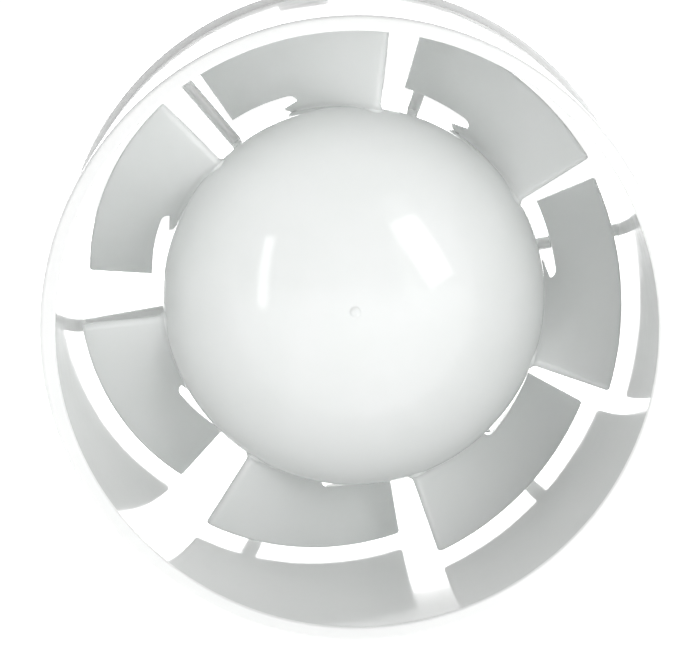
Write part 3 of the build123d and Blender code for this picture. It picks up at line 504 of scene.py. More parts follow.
GROUND_STEEL = Finish(
    "ground_steel", "ground_steel", (0.52, 0.53, 0.55), (0.46, 0.47, 0.49), Grain.LATHED,
    0.20, 0.08, 20.0, 0.002, metallic=1.0, worn=(0.66, 0.67, 0.69),
)
SHEET_STEEL = Finish(
    "stacked_sheet_steel", "electrical_steel", (0.20, 0.21, 0.23), (0.27, 0.26, 0.26), Grain.STACKED,
    0.45, 0.15, 2.0, 0.05, metallic=0.9, worn=(0.42, 0.42, 0.44),
)
CAST_ALUMINIUM = Finish(
    "cast_aluminium", "cast_aluminium", (0.56, 0.57, 0.58), (0.48, 0.49, 0.50), Grain.SPECKLED,
    0.42, 0.12, 2.5, 0.03, metallic=1.0, worn=(0.75, 0.76, 0.77),
)
NYLON = Finish(
    "natural_nylon", "natural_nylon", (0.72, 0.68, 0.56), (0.76, 0.73, 0.64), Grain.MOULDED,
    0.42, 0.10, 1.6, 0.01, worn=(0.84, 0.82, 0.76), translucency=0.2,
)
BRONZE = Finish(
    "oiled_sintered_bronze", "sintered_bronze", (0.36, 0.20, 0.09), (0.28, 0.15, 0.07), Grain.SPECKLED,
    0.38, 0.14, 5.0, 0.02, metallic=0.9, worn=(0.55, 0.36, 0.20),
)
FELT = Finish(
    "oiled_wool_felt", "oiled_felt", (0.30, 0.23, 0.12), (0.40, 0.32, 0.18), Grain.FIBROUS,
    0.85, 0.10, 4.0, 0.12, sheen=0.4,
)
ZINC_SCREW = Finish(
    "zinc_plated_screw", "plated_screw", (0.55, 0.55, 0.53), (0.47, 0.47, 0.46), Grain.DRAWN,
    0.27, 0.10, 7.0, 0.003, metallic=1.0, worn=(0.72, 0.72, 0.70),
)
BLACK_NYLON = Finish(
    "glass_filled_black_nylon", "black_nylon", (0.018, 0.018, 0.020), (0.030, 0.030, 0.032), Grain.MOULDED,
    0.48, 0.14, 2.2, 0.02, worn=(0.07, 0.07, 0.075),
)
FUSE_RESIN = Finish(
    "cream_fuse_resin", "fuse_body", (0.66, 0.62, 0.52), (0.72, 0.69, 0.60), Grain.MOULDED,
    0.40, 0.12, 2.0, 0.015, worn=(0.82, 0.80, 0.74),
)
BROWN_WIRE = Finish(
    "brown_wire_cover", "brown_pvc", (0.10, 0.045, 0.022), (0.13, 0.06, 0.03), Grain.MOULDED,
    0.35, 0.08, 2.5, 0.008, coat=0.1,
)
BLUE_WIRE = Finish(
    "blue_wire_cover", "blue_pvc", (0.02, 0.09, 0.36), (0.03, 0.12, 0.42), Grain.MOULDED,
    0.35, 0.08, 2.5, 0.008, coat=0.1,
)
COPPER = Finish(
    "bare_copper", "copper", (0.70, 0.33, 0.18), (0.55, 0.24, 0.12), Grain.DRAWN,
    0.30, 0.12, 8.0, 0.004, metallic=1.0, worn=(0.86, 0.52, 0.36),
)
ENAMELLED_WIRE = Finish(
    "enamelled_copper_wire", "enamelled_copper", (0.42, 0.13, 0.045), (0.52, 0.19, 0.07), Grain.DRAWN,
    0.22, 0.08, 6.0, 0.006, metallic=0.85, coat=0.5,
)


# ---------------------------------------------------------------- geometry node trees
class ShapeTree:
    """A Geometry Nodes tree built step by step."""

    def __init__(self, name: str) -> None:
        """Start an empty tree with one geometry input and one output.

        Args:
            name: Name of the node group.
        """
        self.tree = bpy.data.node_groups.new(name, "GeometryNodeTree")
        self.tree.interface.new_socket("Geometry", in_out="INPUT", socket_type="NodeSocketGeometry")
        self.tree.interface.new_socket("Geometry", in_out="OUTPUT", socket_type="NodeSocketGeometry")
        self.given = self.tree.nodes.new("NodeGroupInput")
        self.result = self.tree.nodes.new("NodeGroupOutput")
        self.identifiers: dict[str, str] = {}
        self.values: dict[str, object] = {}

    def size(self, name: str, value: object, kind: str = "NodeSocketFloat") -> bpy.types.NodeSocket:
        """Add a named input.

        Args:
            name: Name of the input, in plain words.
            value: The value this use of the tree gives it.
            kind: Type of the input socket.

        Returns:
            The socket that carries the input inside the tree.
        """
        item = self.tree.interface.new_socket(name, in_out="INPUT", socket_type=kind)
        self.identifiers[name] = item.identifier
        self.values[name] = value
        return self.given.outputs[name]

    def node(self, kind: str, **settings: object) -> bpy.types.Node:
        """Add a node.

        Args:
            kind: Blender's node type.
            **settings: Properties of the node to set.

        Returns:
            The new node.
        """
        made = self.tree.nodes.new(kind)
        for key, value in settings.items():
            setattr(made, key, value)
        return made

    def feed(self, value: object, target: bpy.types.NodeSocket) -> None:
        """Link a socket, or set a plain value, on an input socket."""
        if isinstance(value, bpy.types.NodeSocket):
            self.tree.links.new(value, target)
        else:
            target.default_value = value

    def math(self, operation: str, first: object, second: object = 0.0) -> bpy.types.NodeSocket:
        """One arithmetic step.

        Args:
            operation: Blender's name of the operation.
            first: A number or a socket.
            second: A number or a socket.

        Returns:
            The result.
        """
        made = self.node("ShaderNodeMath", operation=operation)
        self.feed(first, made.inputs[0])
        self.feed(second, made.inputs[1])
        return made.outputs[0]

    def vector(self, x: object, y: object, z: object) -> bpy.types.NodeSocket:
        """A vector from three numbers or sockets."""
        made = self.node("ShaderNodeCombineXYZ")
        for value, target in zip((x, y, z), made.inputs):
            self.feed(value, target)
        return made.outputs[0]

    def ring_of(self, shape: bpy.types.NodeSocket, count: object, first: object) -> bpy.types.NodeSocket:
        """Copies of a shape equally spaced round the fan axis.

        Args:
            shape: The geometry to copy.
            count: Number of copies.
            first: Angle of the first copy, in radians.

        Returns:
            The copies as instances.
        """
        points = self.node("GeometryNodePoints")
        self.feed(count, points.inputs["Count"])
        index = self.node("GeometryNodeInputIndex")
        step = self.math("DIVIDE", 2 * math.pi, count)
        angle = self.math("ADD", self.math("MULTIPLY", index.outputs[0], step), first)
        turn = self.vector(0.0, self.math("MULTIPLY", angle, -1.0), 0.0)
        place = self.node("GeometryNodeInstanceOnPoints")
        self.feed(points.outputs[0], place.inputs["Points"])
        self.feed(shape, place.inputs["Instance"])
        to_turn = self.node("FunctionNodeEulerToRotation")
        self.feed(turn, to_turn.inputs[0])
        self.feed(to_turn.outputs[0], place.inputs["Rotation"])
        return place.outputs[0]

    def end(self, shape: bpy.types.NodeSocket, material: bpy.types.Material) -> None:
        """Realize the copies, set the material and close the tree.

        Args:
            shape: The finished geometry.
            material: Material of the whole result.
        """
        real = self.node("GeometryNodeRealizeInstances")
        dressed = self.node("GeometryNodeSetMaterial")
        self.feed(shape, real.inputs[0])
        self.feed(real.outputs[0], dressed.inputs["Geometry"])
        dressed.inputs["Material"].default_value = material
        self.feed(dressed.outputs[0], self.result.inputs[0])

    def run(
        self, name: str, start: bpy.types.Object | None = None, sharp: float = 32.0
    ) -> bpy.types.Object:
        """Evaluate the tree into a plain piece.

        Args:
            name: Name of the piece.
            start: Object whose mesh the tree starts from, or None.
            sharp: Edges that turn more than this many degrees stay crisp.

        Returns:
            The plain mesh piece, with no modifier.
        """
        if start is None:
            start = bpy.data.objects.new(name + "_seed", bpy.data.meshes.new(name + "_seed"))
            bpy.context.scene.collection.objects.link(start)
        modifier = start.modifiers.new("shape", "NODES")
        modifier.node_group = self.tree
        for key, identifier in self.identifiers.items():
            modifier[identifier] = self.values[key]
        return settle(start, name, sharp)


def dress(piece: bpy.types.Object, finish: Finish, body: str, *nodes: str) -> bpy.types.Object:
    """Give a new piece its finish, its body and the CAD nodes it stands for.

    Args:
        piece: The piece to dress.
        finish: Its surface finish.
        body: The CAD body it rides on.
        *nodes: CAD nodes that it stands for.

    Returns:
        The same piece.
    """
    piece.data.materials.clear()
    piece.data.materials.append(finish.material())
    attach(piece, body)
    if nodes:
        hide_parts(*nodes)
    LOG.info("piece %s: %d faces on %s", piece.name, len(piece.data.polygons), body)
    return piece


# ---------------------------------------------------------------- casing
@dataclass
class DuctCasing:
    """The round tube, its struts and the motor can."""

    radius: float = 50.0
    bore_radius: float = 47.5
    rear_bore_radius: float = 48.1
    bore_step_depth: float = 61.0
    length: float = 100.0
    band_radius: float = 51.2
    band_front: float = 64.0
    band_back: float = 77.0
    rim_outer_round: float = 0.7
    rim_inner_round: float = 0.4
    can_radius: float = 28.5
    can_bore: float = 26.5
    can_narrow_bore: float = 25.7
    can_front: float = 53.0
    can_inner_face: float = 55.5
    can_shoulder: float = 82.5
    can_back: float = 96.0
    can_edge_round: float = 1.6
    seat_radius: float = 8.0
    seat_back: float = 60.0
    bearing_hole_radius: float = 5.9
    shaft_hole_radius: float = 2.8
    strut_count: int = 6
    strut_first_angle: float = 10.2
    strut_width: float = 2.2
    strut_front: float = 61.2
    strut_depth: float = 4.0
    strut_edge_round: float = 1.05
    strut_foot: float = 0.9
    cable_angle: float = 100.0
    cable_hole_radius: float = 4.0
    casing_cable_depth: float = 70.5
    can_cable_depth: float = 90.2
    segments: int = 224

    def tube(self) -> bpy.types.Object:
        """The outer tube with its rims, middle band and cord hole."""
        rim, inner = self.rim_outer_round, self.rim_inner_round
        outline = rounded([
            (self.bore_radius, 0.0, inner),
            (self.radius, 0.0, rim),
            (self.radius, self.band_front, 0.2),
            (self.band_radius, self.band_front, 0.4),
            (self.band_radius, self.band_back, 0.4),
            (self.radius, self.band_back, 0.2),
            (self.radius, self.length, rim),
            (self.rear_bore_radius, self.length, inner),
            (self.rear_bore_radius, self.bore_step_depth, 0.15),
            (self.bore_radius, self.bore_step_depth, 0.15),
        ])
        piece = make_object("casing_tube", lathe(outline, self.segments))
        self.drill(piece, self.rear_bore_radius - 3, self.band_radius + 3, self.casing_cable_depth)
        piece = settle(piece, "casing_tube")
        weigh_normals(piece)
        return piece

    def motor_can(self) -> bpy.types.Object:
        """The cup that holds the motor, with the bearing seat in its front wall."""
        outline = rounded([
            (self.shaft_hole_radius, self.can_front, 0.3),
            (self.can_radius, self.can_front, self.can_edge_round),
            (self.can_radius, self.can_back, 0.3),
            (self.can_bore, self.can_back, 0.3),
            (self.can_bore, self.can_shoulder, 0.2),
            (self.can_narrow_bore, self.can_shoulder, 0.2),
            (self.can_narrow_bore, self.can_inner_face, 0.8),
            (self.seat_radius, self.can_inner_face, 0.6),
            (self.seat_radius, self.seat_back, 0.3),
            (self.bearing_hole_radius, self.seat_back, 0.2),
            (self.bearing_hole_radius, self.can_inner_face, 0.2),
            (self.shaft_hole_radius, self.can_inner_face, 0.2),
        ])
        piece = make_object("motor_can", lathe(outline, self.segments // 2))
        self.drill(piece, self.can_bore - 3, self.can_radius + 3, self.can_cable_depth)
        piece = settle(piece, "motor_can")
        weigh_normals(piece)
        return piece

    def drill(self, piece: bpy.types.Object, inner: float, outer: float, depth: float) -> None:
        """Cut the cord hole through a round wall.

        Args:
            piece: The piece to cut.
            inner: Radius where the cutter starts, in mm.
            outer: Radius where the cutter ends, in mm.
            depth: Depth of the hole's middle, in mm.
        """
        cutter = bmesh.new()
        bmesh.ops.create_cone(
            cutter, cap_ends=True, segments=48, radius1=self.cable_hole_radius * MM,
            radius2=self.cable_hole_radius * MM, depth=(outer - inner) * MM,
        )
        along = Matrix.Translation(((inner + outer) / 2 * MM, depth * MM, 0))
        bmesh.ops.transform(
            cutter, matrix=turned(self.cable_angle) @ along @ Matrix.Rotation(math.pi / 2, 4, "Y"),
            verts=cutter.verts,
        )
        cut_away(piece, make_object("cord_hole_cutter", cutter))

    def strut_blank(self) -> bpy.types.Object:
        """One strut along X, flared into the wall at both feet."""
        mesh = bmesh.new()
        half = self.strut_width / 2
        start = self.can_radius - 0.6
        end = self.rear_bore_radius + 0.6
        stations = 28
        outline = self.strut_outline(half)
        rows = []
        for station in range(stations + 1):
            share = station / stations
            x = start + (end - start) * (0.5 - 0.5 * math.cos(math.pi * share))
            gap = min(x - self.can_radius, self.rear_bore_radius - x)
            flare = self.foot_flare(gap)
            rows.append([
                mesh.verts.new((
                    x * MM,
                    (y + math.copysign(flare, y - self.strut_front - self.strut_depth / 2)) * MM,
                    (z + math.copysign(flare, z)) * MM,
                ))
                for z, y in outline
            ])
        skin(mesh, rows)
        mesh.faces.new(rows[0])
        mesh.faces.new(list(reversed(rows[-1])))
        bmesh.ops.recalc_face_normals(mesh, faces=mesh.faces)
        return make_object("strut_blank", mesh)

    def foot_flare(self, gap: float) -> float:
        """Extra thickness of a strut near the wall it grows from.

        Args:
            gap: Distance to the nearer wall, in mm.

        Returns:
            The flare on each side, in mm.
        """
        if gap >= self.strut_foot:
            return 0.0
        share = 1.0 - max(gap, 0.0) / self.strut_foot
        return self.strut_foot * (1.0 - math.sqrt(1.0 - share * share)) * 0.8

    def strut_outline(self, half: float) -> list[Point]:
        """The strut's cross section as (across, depth) points.

        Args:
            half: Half the strut's width, in mm.

        Returns:
            The closed outline in mm.
        """
        back = self.strut_front + self.strut_depth
        return rounded([
            (-half, self.strut_front, self.strut_edge_round),
            (half, self.strut_front, self.strut_edge_round),
            (half, back, self.strut_edge_round),
            (-half, back, self.strut_edge_round),
        ], 6)

    def struts(self) -> bpy.types.Object:
        """All struts, copied round the axis."""
        tree = ShapeTree("strut_ring")
        count = tree.size("Strut count", self.strut_count, "NodeSocketInt")
        first = tree.size("First angle", math.radians(self.strut_first_angle))
        tree.end(tree.ring_of(tree.given.outputs["Geometry"], count, first), GLOSS_WHITE.material())
        return tree.run("casing_struts", self.strut_blank())

    def build(self) -> None:
        """Build and dress the casing pieces."""
        for piece in (self.tube(), self.motor_can(), self.struts()):
            dress(piece, GLOSS_WHITE, CASING_BODY, "casing")


# ---------------------------------------------------------------- impeller
@dataclass
class Impeller:
    """The domed hub and its blades."""

    hub_radius: float = 32.3
    hub_wall: float = 1.8
    dome_front: float = 22.0
    dome_depth: float = 17.0
    skirt_back: float = 51.0
    boss_radius: float = 6.6
    bush_radius: float = 4.0
    bush_front: float = 36.0
    collar_seat_radius: float = 5.4
    collar_length: float = 3.0
    collar_lead_in: float = 0.2
    pip_radius: float = 0.9
    pip_height: float = 0.28
    tip_radius: float = 46.0
    blade_count: int = 7
    blade_front: float = 37.2
    axial_chord: float = 21.1
    lead_angle: float = 82.5
    span_angle: float = 43.7
    thickness: float = 1.6
    camber: float = 0.15
    slot_width: float = 2.7
    slot_lead: float = 1.2
    root_flare: float = 0.9
    tip_round: float = 0.5
    chord_steps: int = 44
    rib_thickness: float = 1.3
    rib_back: float = 47.0
    segments: int = 192

    @property
    def skirt_front(self) -> float:
        """Depth where the dome meets the skirt."""
        return self.dome_front + self.dome_depth

    def dome(self, radius: float, front: float, steps: int = 40) -> list[Point]:
        """Half of an elliptical dome from its pole to the skirt.

        Args:
            radius: Radius at the skirt, in mm.
            front: Depth of the pole, in mm.
            steps: Number of runs along the dome.

        Returns:
            The (radius, depth) points, pole first.
        """
        points = []
        for step in range(steps + 1):
            angle = math.pi / 2 * step / steps
            depth = self.skirt_front - (self.skirt_front - front) * math.cos(angle)
            points.append((radius * math.sin(angle), depth))
        return points

    def hub(self) -> bpy.types.Object:
        """The domed hub with its gate mark, skirt and inner boss."""
        outside = self.dome(self.hub_radius, self.dome_front)
        pip = [
            (0.0, self.dome_front - self.pip_height),
            (self.pip_radius * 0.55, self.dome_front - self.pip_height * 0.95),
            (self.pip_radius * 0.85, self.dome_front - self.pip_height * 0.45),
            (self.pip_radius, self.dome_front + 0.01),
            (self.pip_radius * 1.25, self.dome_front + 0.05),
            (self.pip_radius * 1.6, self.dome_front + 0.03),
        ]
        outside = pip + [point for point in outside if point[0] > self.pip_radius * 2]
        inner_radius = self.hub_radius - self.hub_wall
        inside = self.dome(inner_radius, self.dome_front + self.hub_wall)
        skirt = rounded([
            (self.hub_radius, self.skirt_front, 0.0),
            (self.hub_radius, self.skirt_back, 0.5),
            (inner_radius, self.skirt_back, 0.3),
            (inner_radius, self.skirt_front, 0.0),
        ])
        inner_dome = [point for point in reversed(inside[:-1]) if point[0] > self.boss_radius + 0.4]
        boss = [
            (self.boss_radius + 0.2, inner_dome[-1][1] - 0.1),
            (self.boss_radius, inner_dome[-1][1] + 0.6),
            (self.boss_radius, self.skirt_back - self.collar_length - self.collar_lead_in),
            (self.collar_seat_radius, self.skirt_back - self.collar_length),
            (self.collar_seat_radius, self.skirt_back - self.collar_lead_in),
            (self.collar_seat_radius - self.collar_lead_in, self.skirt_back),
            (self.bush_radius, self.skirt_back),
            (self.bush_radius, self.bush_front),
            (0.0, self.bush_front),
        ]
        outline = outside[:-1] + skirt[:-1] + inner_dome + boss
        piece = make_object("impeller_hub", lathe(outline, self.segments, closed=False))
        weigh_normals(piece)
        return piece

    def blade_depth(self, share: float) -> float:
        """Depth of the blade's middle surface.

        Args:
            share: Share of the way from the leading to the trailing edge.

        Returns:
            The depth in mm.
        """
        return self.blade_front + self.axial_chord * (share - self.camber * share * (1 - share))

    def blade_slope(self, share: float) -> float:
        """Depth gained per radian along the blade at a share of the way."""
        per_share = self.axial_chord * (1 - self.camber * (1 - 2 * share))
        return per_share / math.radians(self.span_angle)

    def blade_ring(self, radius: float, half_thickness: float) -> list[Vector]:
        """The closed blade section on a cylinder about the fan axis.

        Args:
            radius: Radius of the cylinder, in mm.
            half_thickness: Half the blade's thickness there, in mm.

        Returns:
            Points in metres round the section, front side first.
        """
        edge = self.thickness / 2
        inset = math.degrees(edge / self.tip_radius)
        half_span = self.span_angle / 2 - inset
        sides: list[list[tuple[float, float]]] = [[], []]
        for step in range(self.chord_steps + 1):
            share = step / self.chord_steps
            angle = math.radians(half_span * (2 * share - 1))
            slope = self.blade_slope(share)
            size = math.hypot(radius, slope)
            across = slope / size * half_thickness
            along = radius / size * half_thickness
            depth = self.blade_depth(share)
            sides[0].append((angle + across / radius, depth - along))
            sides[1].append((angle - across / radius, depth + along))
        nose = self.cap(sides[1][0], sides[0][0], radius)
        tail = self.cap(sides[0][-1], sides[1][-1], radius)
        loop = sides[0] + tail + list(reversed(sides[1])) + nose
        return [
            Vector((radius * math.cos(angle), depth, radius * math.sin(angle))) * MM
            for angle, depth in loop
        ]

    @staticmethod
    def cap(first: Point, second: Point, radius: float) -> list[Point]:
        """Round the edge of a blade between its two sides.

        Args:
            first: (angle, depth) where the round starts.
            second: (angle, depth) where it ends.
            radius: Radius of the section's cylinder, in mm.

        Returns:
            The (angle, depth) points between the two sides.
        """
        a = Vector((first[0] * radius, first[1]))
        b = Vector((second[0] * radius, second[1]))
        centre = (a + b) / 2
        arm = a - centre
        steps = 6
        points = []
        for step in range(1, steps):
            angle = math.pi * step / steps
            spun = Vector((
                arm.x * math.cos(angle) - arm.y * math.sin(angle),
                arm.x * math.sin(angle) + arm.y * math.cos(angle),
            ))
            point = centre + spun
            points.append((point.x / radius, point.y))
        return points

    def blade_blank(self) -> bpy.types.Object:
        """One blade about the X axis, with a flared root, a rounded tip edge and its slot."""
        mesh = bmesh.new()
        half = self.thickness / 2
        root = self.hub_radius - self.hub_wall * 0.5
        radii = [root, self.hub_radius - 0.1]
        flare_steps = 5
        radii += [
            self.hub_radius + self.root_flare * step / flare_steps
            for step in range(1, flare_steps + 1)
        ]
        body_steps = 14
        first, last = radii[-1], self.tip_radius - self.tip_round
        radii += [first + (last - first) * step / body_steps for step in range(1, body_steps + 1)]
        rows = []
        for radius in radii:
            gap = max(radius - self.hub_radius, 0.0)
            extra = 0.0
            if gap < self.root_flare:
                share = 1 - gap / self.root_flare
                extra = self.root_flare * 0.7 * (1 - math.sqrt(1 - share * share))
            rows.append(self.blade_ring(radius, half + extra))
        for step in range(1, 5):
            angle = math.pi / 2 * step / 4
            radius = last + self.tip_round * math.sin(angle)
            rows.append(self.blade_ring(radius, half - self.tip_round * (1 - math.cos(angle))))
        loops = [[mesh.verts.new(point) for point in row] for row in rows]
        skin(mesh, loops)
        for loop in (loops[0], loops[-1]):
            self.close(mesh, loop)
        bmesh.ops.recalc_face_normals(mesh, faces=mesh.faces)
        piece = make_object("blade_blank", mesh)
        self.cut_slot(piece)
        return piece

    def close(self, mesh: bmesh.types.BMesh, loop: list[bmesh.types.BMVert]) -> None:
        """Close the end of a blade with strips across its thickness.

        Args:
            mesh: The blade's mesh.
            loop: The end section, front side first.
        """
        count = len(loop)
        side = self.chord_steps + 1
        cap = (count - 2 * side) // 2
        front = loop[:side]
        back = list(reversed(loop[side + cap:2 * side + cap]))
        for index in range(side - 1):
            mesh.faces.new((front[index], front[index + 1], back[index + 1], back[index]))
        mesh.faces.new(loop[side - 1:side + cap + 1])
        mesh.faces.new(loop[2 * side + cap - 1:] + [loop[0]])

    def cut_slot(self, piece: bpy.types.Object) -> None:
        """Cut the round-ended slot between the blade's tail and the hub.

        Args:
            piece: The blade about the X axis.
        """
        share = (self.skirt_back - self.slot_lead - self.blade_front) / self.axial_chord
        angle = math.radians(self.span_angle * (share - 0.5))
        inner, outer = self.hub_radius - 4.0, self.hub_radius + self.slot_width
        middle = self.hub_radius + self.slot_width / 2
        corner = self.slot_width / 2
        arc = [
            Vector((middle * math.cos(angle), middle * math.sin(angle)))
            + corner * Vector((math.cos(angle + turn), math.sin(angle + turn)))
            for turn in [math.pi + math.pi / 2 * (2 - step) / 8 for step in range(0, 9)]
        ]
        tip = [
            Vector((middle * math.cos(angle), middle * math.sin(angle)))
            + corner * Vector((math.cos(angle + turn), math.sin(angle + turn)))
            for turn in [-math.pi / 2 + math.pi / 2 * step / 8 for step in range(1, 9)]
        ]
        end_angle = math.radians(self.span_angle * 0.75)
        sweep = [angle + (end_angle - angle) * step / 16 for step in range(1, 17)]
        far = [Vector((outer * math.cos(a), outer * math.sin(a))) for a in sweep]
        back_sweep = reversed([angle + 0.001, *sweep])
        near = [Vector((inner * math.cos(a), inner * math.sin(a))) for a in back_sweep]
        hub_side = [Vector(((self.hub_radius) * math.cos(angle), self.hub_radius * math.sin(angle)))]
        profile = near + hub_side + [point for point in arc if point.length > self.hub_radius] + tip + far
        mesh = bmesh.new()
        low, high = (self.blade_front - 5) * MM, (self.blade_front + self.axial_chord + 5) * MM
        bottom = [mesh.verts.new((p.x * MM, low, p.y * MM)) for p in profile]
        top = [mesh.verts.new((p.x * MM, high, p.y * MM)) for p in profile]
        skin(mesh, [bottom, top])
        mesh.faces.new(bottom)
        mesh.faces.new(top)
        bmesh.ops.recalc_face_normals(mesh, faces=mesh.faces)
        cut_away(piece, make_object("slot_cutter", mesh))

    def blades(self) -> bpy.types.Object:
        """All blades, copied round the axis."""
        tree = ShapeTree("blade_ring")
        count = tree.size("Blade count", self.blade_count, "NodeSocketInt")
        first = tree.size("First angle", math.radians(self.lead_angle + self.span_angle / 2))
        tree.end(tree.ring_of(tree.given.outputs["Geometry"], count, first), IMPELLER_WHITE.material())
        piece = tree.run("impeller_blades", self.blade_blank())
        weigh_normals(piece)
        return piece

    def rib_blank(self) -> bpy.types.Object:
        """One flat rib between the boss and the skirt, along X."""
        mesh = bmesh.new()
        half = self.rib_thickness / 2
        inner, outer = self.boss_radius - 0.5, self.hub_radius - self.hub_wall / 2
        depths = []
        for step in range(13):
            x = inner + (outer - inner) * step / 12
            rise = math.sqrt(max(1 - (x / (self.hub_radius - 0.4)) ** 2, 0.0))
            front = self.skirt_front - (self.dome_depth - self.hub_wall * 0.6) * rise
            depths.append((x, front))
        outline = depths + [(outer, self.rib_back), (inner, self.rib_back)]
        sides = [
            [mesh.verts.new((x * MM, y * MM, z * MM)) for x, y in outline]
            for z in (-half, half)
        ]
        skin(mesh, sides)
        mesh.faces.new(sides[0])
        mesh.faces.new(sides[1])
        bmesh.ops.recalc_face_normals(mesh, faces=mesh.faces)
        return make_object("rib_blank", mesh)

    def ribs(self) -> bpy.types.Object:
        """All inner ribs, copied round the axis."""
        tree = ShapeTree("rib_ring")
        count = tree.size("Rib count", self.blade_count, "NodeSocketInt")
        first = tree.size("First angle", math.radians(self.lead_angle))
        tree.end(tree.ring_of(tree.given.outputs["Geometry"], count, first), IMPELLER_WHITE.material())
        return tree.run("impeller_ribs", self.rib_blank())

    def build(self) -> None:
        """Build and dress the impeller pieces."""
        for piece in (self.hub(), self.blades(), self.ribs()):
            dress(piece, IMPELLER_WHITE, ROTOR_BODY, "impeller")


# ---------------------------------------------------------------- screws
@dataclass
class ScrewSet:
    """A ring of equal pan-head screws that point towards the intake."""

    node: str
    count: int
    circle_radius: float
    first_angle: float
    shank_radius: float = 1.45
    head_radius: float = 2.7
    head_height: float = 1.8
    thread_pitch: float = 0.9
    thread_depth: float = 0.24
    thread_length: float = 10.0
    recess_width: float = 0.7
    recess_depth: float = 0.8
    segments: int = 28
    turns_per_pitch: int = 8

    def shank(self, mesh: bmesh.types.BMesh, front: float, back: float) -> None:
        """Add the threaded shank, pointed at its front end.

        Args:
            mesh: The mesh to add to.
            front: Depth of the screw's tip, in mm.
            back: Depth where the shank enters the head, in mm.
        """
        tip_length = self.shank_radius
        rows = []
        count = int((back - front) / self.thread_pitch * self.turns_per_pitch)
        for row in range(1, count + 1):
            depth = front + (back - front) * row / count
            taper = min((depth - front) / tip_length, 1.0)
            threaded = min(max((front + self.thread_length - depth) / self.thread_pitch, 0.0), 1.0)
            ring = []
            for step in range(self.segments):
                phase = (depth / self.thread_pitch + step / self.segments) % 1.0
                groove = self.thread_depth * threaded * abs(2 * phase - 1)
                radius = (self.shank_radius - groove) * (0.3 + 0.7 * taper)
                angle = 2 * math.pi * step / self.segments
                ring.append(mesh.verts.new((
                    radius * math.cos(angle) * MM, depth * MM, radius * math.sin(angle) * MM
                )))
            rows.append(ring)
        skin(mesh, rows)
        tip = mesh.verts.new((0, front * MM, 0))
        for step in range(self.segments):
            mesh.faces.new((rows[0][(step + 1) % self.segments], rows[0][step], tip))
        mesh.faces.new(rows[-1])

    def head(self, seat: float) -> bpy.types.Object:
        """The rounded head with its straight recess.

        Args:
            seat: Depth of the face under the head, in mm.

        Returns:
            The head as an object on the screw's own axis.
        """
        top = seat + self.head_height
        outline = rounded([
            (0.0, seat, 0.0),
            (self.head_radius, seat, 0.15),
            (self.head_radius, top, self.head_height * 0.6),
            (0.0, top, 0.0),
        ], 7)
        head = make_object("screw_head", lathe(outline, self.segments * 2, closed=False))
        cutter = bmesh.new()
        bmesh.ops.create_cube(cutter, size=1.0)
        size = Vector((self.head_radius * 3, self.recess_depth * 2, self.recess_width)) * MM
        bmesh.ops.scale(cutter, vec=size, verts=cutter.verts)
        bmesh.ops.translate(cutter, vec=(0, top * MM, 0), verts=cutter.verts)
        cut_away(head, make_object("recess_cutter", cutter))
        return head

    def blank(self) -> bpy.types.Object:
        """One screw, moved out along X to its circle."""
        low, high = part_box(self.node)
        front, back = low.y / MM, high.y / MM
        seat = back - self.head_height
        head = self.head(seat)
        mesh = bmesh.new()
        mesh.from_mesh(head.data)
        bpy.data.objects.remove(head)
        self.shank(mesh, front, seat + 0.1)
        bmesh.ops.recalc_face_normals(mesh, faces=mesh.faces)
        bmesh.ops.translate(mesh, vec=(self.circle_radius * MM, 0, 0), verts=mesh.verts)
        return make_object(self.node + "_blank", mesh)

    def build(self) -> None:
        """Build the ring of screws in place of its CAD node."""
        tree = ShapeTree(self.node + "_ring")
        count = tree.size("Screw count", self.count, "NodeSocketInt")
        first = tree.size("First angle", math.radians(self.first_angle))
        tree.end(tree.ring_of(tree.given.outputs["Geometry"], count, first), ZINC_SCREW.material())
        piece = tree.run(self.node + "_detail", self.blank())
        dress(piece, ZINC_SCREW, CASING_BODY, self.node)


# ---------------------------------------------------------------- carried-over nodes
@dataclass
class CarriedParts:
    """CAD nodes whose shape stays and only their finish is added."""

    finishes: dict[str, Finish]

    def build(self) -> None:
        """Dress each CAD node."""
        for node, finish in self.finishes.items():
            piece = frame["nodes"][node]
            piece.data.materials.clear()
            piece.data.materials.append(finish.material())
            LOG.info("carried over %s", node)


def carried_finishes() -> dict[str, Finish]:
    """The finish of each CAD node that is carried over."""
    by_slot = {
        finish.slot: finish
        for finish in (
            GLOSS_WHITE, IMPELLER_WHITE, GREY_RUBBER, BRASS, SPRING_STEEL, GROUND_STEEL, SHEET_STEEL,
            CAST_ALUMINIUM, NYLON, BRONZE, FELT, ZINC_SCREW, BLACK_NYLON, FUSE_RESIN, BROWN_WIRE,
            BLUE_WIRE, COPPER, ENAMELLED_WIRE,
        )
    }
    return {
        part["node"]: by_slot[part["material_slot"]]
        for part in frame["record"]["subparts"]
        if part["node"] not in ("casing", "impeller", "rear_cap_screws", "stator_screws")
    }


